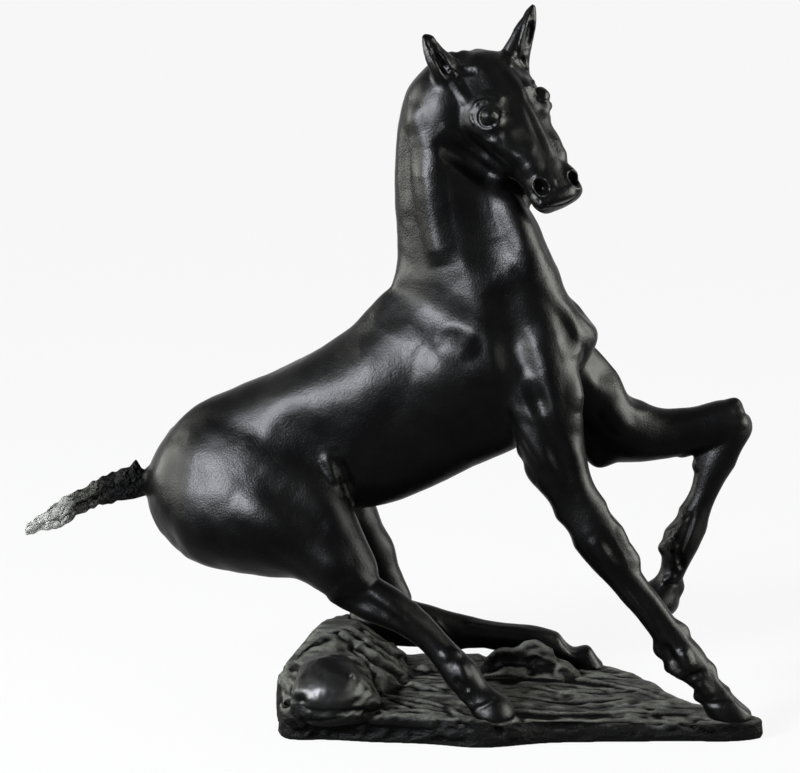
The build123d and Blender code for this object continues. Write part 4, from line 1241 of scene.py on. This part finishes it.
# the pale mark: partly dust, partly a painted reflection on tops and crests
smeared = dust_and_reflection_on * (ground.ramp(smears, low=0.35, high=0.65) * smear_share + least_dust_and_reflection)
dust_and_reflection_share = (smeared * (specks * speck_contrast + least_dust_and_reflection)).clamped()
furrow_black, crest_black = (0.0008, 0.0008, 0.0009, 1), (0.0045, 0.0045, 0.0042, 1)
# the pale grey-green colour is partly dust and partly a painted reflection
grey_green_dust_and_reflection = (0.155, 0.158, 0.136, 1)
boulder_wax, boulder_smoothness = 0.13, 0.8
bare = ground.mixed(ground.ramp(crest_on, low=0.45, high=0.8), furrow_black, crest_black)
ground.set(
    Base_Color=ground.mixed(dust_and_reflection_share, bare, grey_green_dust_and_reflection),
    Roughness=ground.ramp(boulder_on, low=0.2, high=0.8, out_low=0.5, out_high=0.3),
    Specular_IOR_Level=0.012,
    Coat_Weight=boulder_on * boulder_wax,
    Coat_Roughness=0.35,
    Normal=ground.bump(grit * (1.0 - boulder_on * boulder_smoothness), distance=0.0011),
)
base.data.materials.append(ground.material)

# %% [markdown]
# The fasteners keep the frame's own shapes, and each gets its metal: bronze pins and plugs, zinc-coated
# steel studs and washers, brass nuts.


# %% Metals of the fasteners
def metal(name, colour, worn_colour, roughness):
    """A turned metal with tarnish, fine scratches and brighter edges."""
    finish = Finish(name)
    tarnish = finish.noise(scale=160, detail=4.0, roughness=0.6)
    scratches = finish.noise(scale=900, detail=2.0, roughness=0.6, coordinates=finish.stretched(1, 1, 6))
    edges = finish.ramp(finish.pointiness(), low=0.5, high=0.62)
    tarnish_share, edge_share = 0.7, 0.3
    worn = finish.ramp(tarnish, low=0.35, high=0.7) * tarnish_share + edges * edge_share
    finish.set(
        Base_Color=finish.mixed(worn, colour, worn_colour),
        Metallic=1.0,
        Roughness=finish.ramp(tarnish, low=0.3, high=0.7, out_low=roughness - 0.08, out_high=roughness + 0.1),
        Normal=finish.bump(scratches, distance=0.00008),
    )
    return finish.material


bronze_nodes = ["body_joint_pins", "leg_joint_pins", "ear_and_tail_pins", "core_plugs"]
metals = {
    "pin_bronze": ((0.30, 0.17, 0.08, 1), (0.52, 0.33, 0.16, 1), 0.42, bronze_nodes),
    "stud_steel": ((0.36, 0.36, 0.37, 1), (0.58, 0.58, 0.59, 1), 0.36, ["hoof_studs", "stud_washers"]),
    "nut_brass": ((0.42, 0.30, 0.11, 1), (0.66, 0.50, 0.22, 1), 0.38, ["stud_nuts"]),
}
for name, (colour, worn_colour, roughness, nodes) in metals.items():
    material = metal(name, colour, worn_colour, roughness)
    for node in nodes:
        for slot in frame["nodes"][node].material_slots:
            slot.material = material
    print(name, "on", nodes)

# %% [markdown]
# The floor is wide and pale. Its paint takes the shadow, and a share of plain white shows in it to the
# camera and in reflections only, so that it looks like white paper without lighting the bronze.

# %% Stand it on a pale floor
bpy.ops.object.select_all(action="DESELECT")
bpy.ops.mesh.primitive_plane_add(size=60, location=(0, 0, 0))
floor = bpy.context.object
floor.name = "floor"
floor.data.transform(floor.matrix_world)
floor.matrix_world.identity()
paper = Finish("pale_floor")
paper.set(Base_Color=(0.8, 0.8, 0.8, 1), Roughness=1.0, Specular_IOR_Level=0.0)
white = (1, 1, 1, 1)
paper_glow = 0.9
glow = paper.node("ShaderNodeEmission", {}, {"Color": white, "Strength": 1.0})
whitened = paper.node("ShaderNodeMixShader", {}, {
    0: paper.seen_share() * paper_glow, 1: paper.shader.outputs["BSDF"], 2: glow.outputs["Emission"],
})
paper.feed(paper.tree.nodes["Material Output"].inputs["Surface"], whitened.outputs[0])
floor.data.materials.append(paper.material)

# %% [markdown]
# The room is white to the camera and in reflections, but lights the figure softly. Black bronze shows its
# form by what it mirrors, so the key lamp lights it at a plain level, and the other softboxes are seen in
# its gloss alone, without lighting anything.

# %% Light it
world = bpy.data.worlds.new("studio")
bpy.context.scene.world = world
world.use_nodes = True
studio = Tree(world.node_tree)
studio.tree.nodes.clear()
room = studio.node("ShaderNodeBackground", {}, {"Color": white, "Strength": 0.35})
backdrop = studio.node("ShaderNodeBackground", {}, {"Color": white, "Strength": 1.0})
room_or_backdrop = studio.node("ShaderNodeMixShader", {}, {
    0: studio.seen_share(), 1: room.outputs[0], 2: backdrop.outputs[0],
})
studio.node("ShaderNodeOutputWorld", {}, {"Surface": room_or_backdrop.outputs[0]})

# name, place, width and height, power, colour
softboxes = [
    ("key", (-1.15, -1.15, 0.95), (0.42, 0.42), 48, (0.92, 0.94, 1.0)),
    ("gloss", (-1.2, -1.2, 0.78), (0.6, 1.05), 460, (0.9, 0.93, 1.0)),
    ("left side", (-1.7, 0.45, 0.6), (1.0, 1.0), 110, (1.0, 1.0, 0.93)),
    ("left front", (-1.75, -0.4, 0.5), (0.9, 1.1), 90, (1.0, 1.0, 0.93)),
    ("right side", (1.65, 0.05, 0.62), (1.0, 1.2), 170, (1.0, 1.0, 0.93)),
    ("right front", (1.5, -0.5, 0.6), (1.1, 1.1), 75, (1.0, 1.0, 0.93)),
]
for name, place, size, power, colour in softboxes:
    data = bpy.data.lights.new(name, "AREA")
    data.shape = "RECTANGLE"
    data.size, data.size_y = size
    data.energy = power
    data.color = colour
    lamp = bpy.data.objects.new(name, data)
    bpy.context.scene.collection.objects.link(lamp)
    lamp.location = place
    lamp.rotation_euler = (target - Vector(place)).to_track_quat("-Z", "Y").to_euler()
    lamp.visible_diffuse = name == "key"
bpy.context.scene.view_settings.view_transform = "Standard"
print("softboxes:", len(softboxes))

# %% [markdown]
# Last, each piece is hung on the body that carries it, and the plain casting that it stands for is hidden.

# %% Hang each piece on its body
foal_pieces["tail_casting"] = tail
for node, piece in foal_pieces.items():
    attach(piece, "root")
    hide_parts(node)
base.name = "bronze_base"
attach(base, "root")
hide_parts("base_casting")
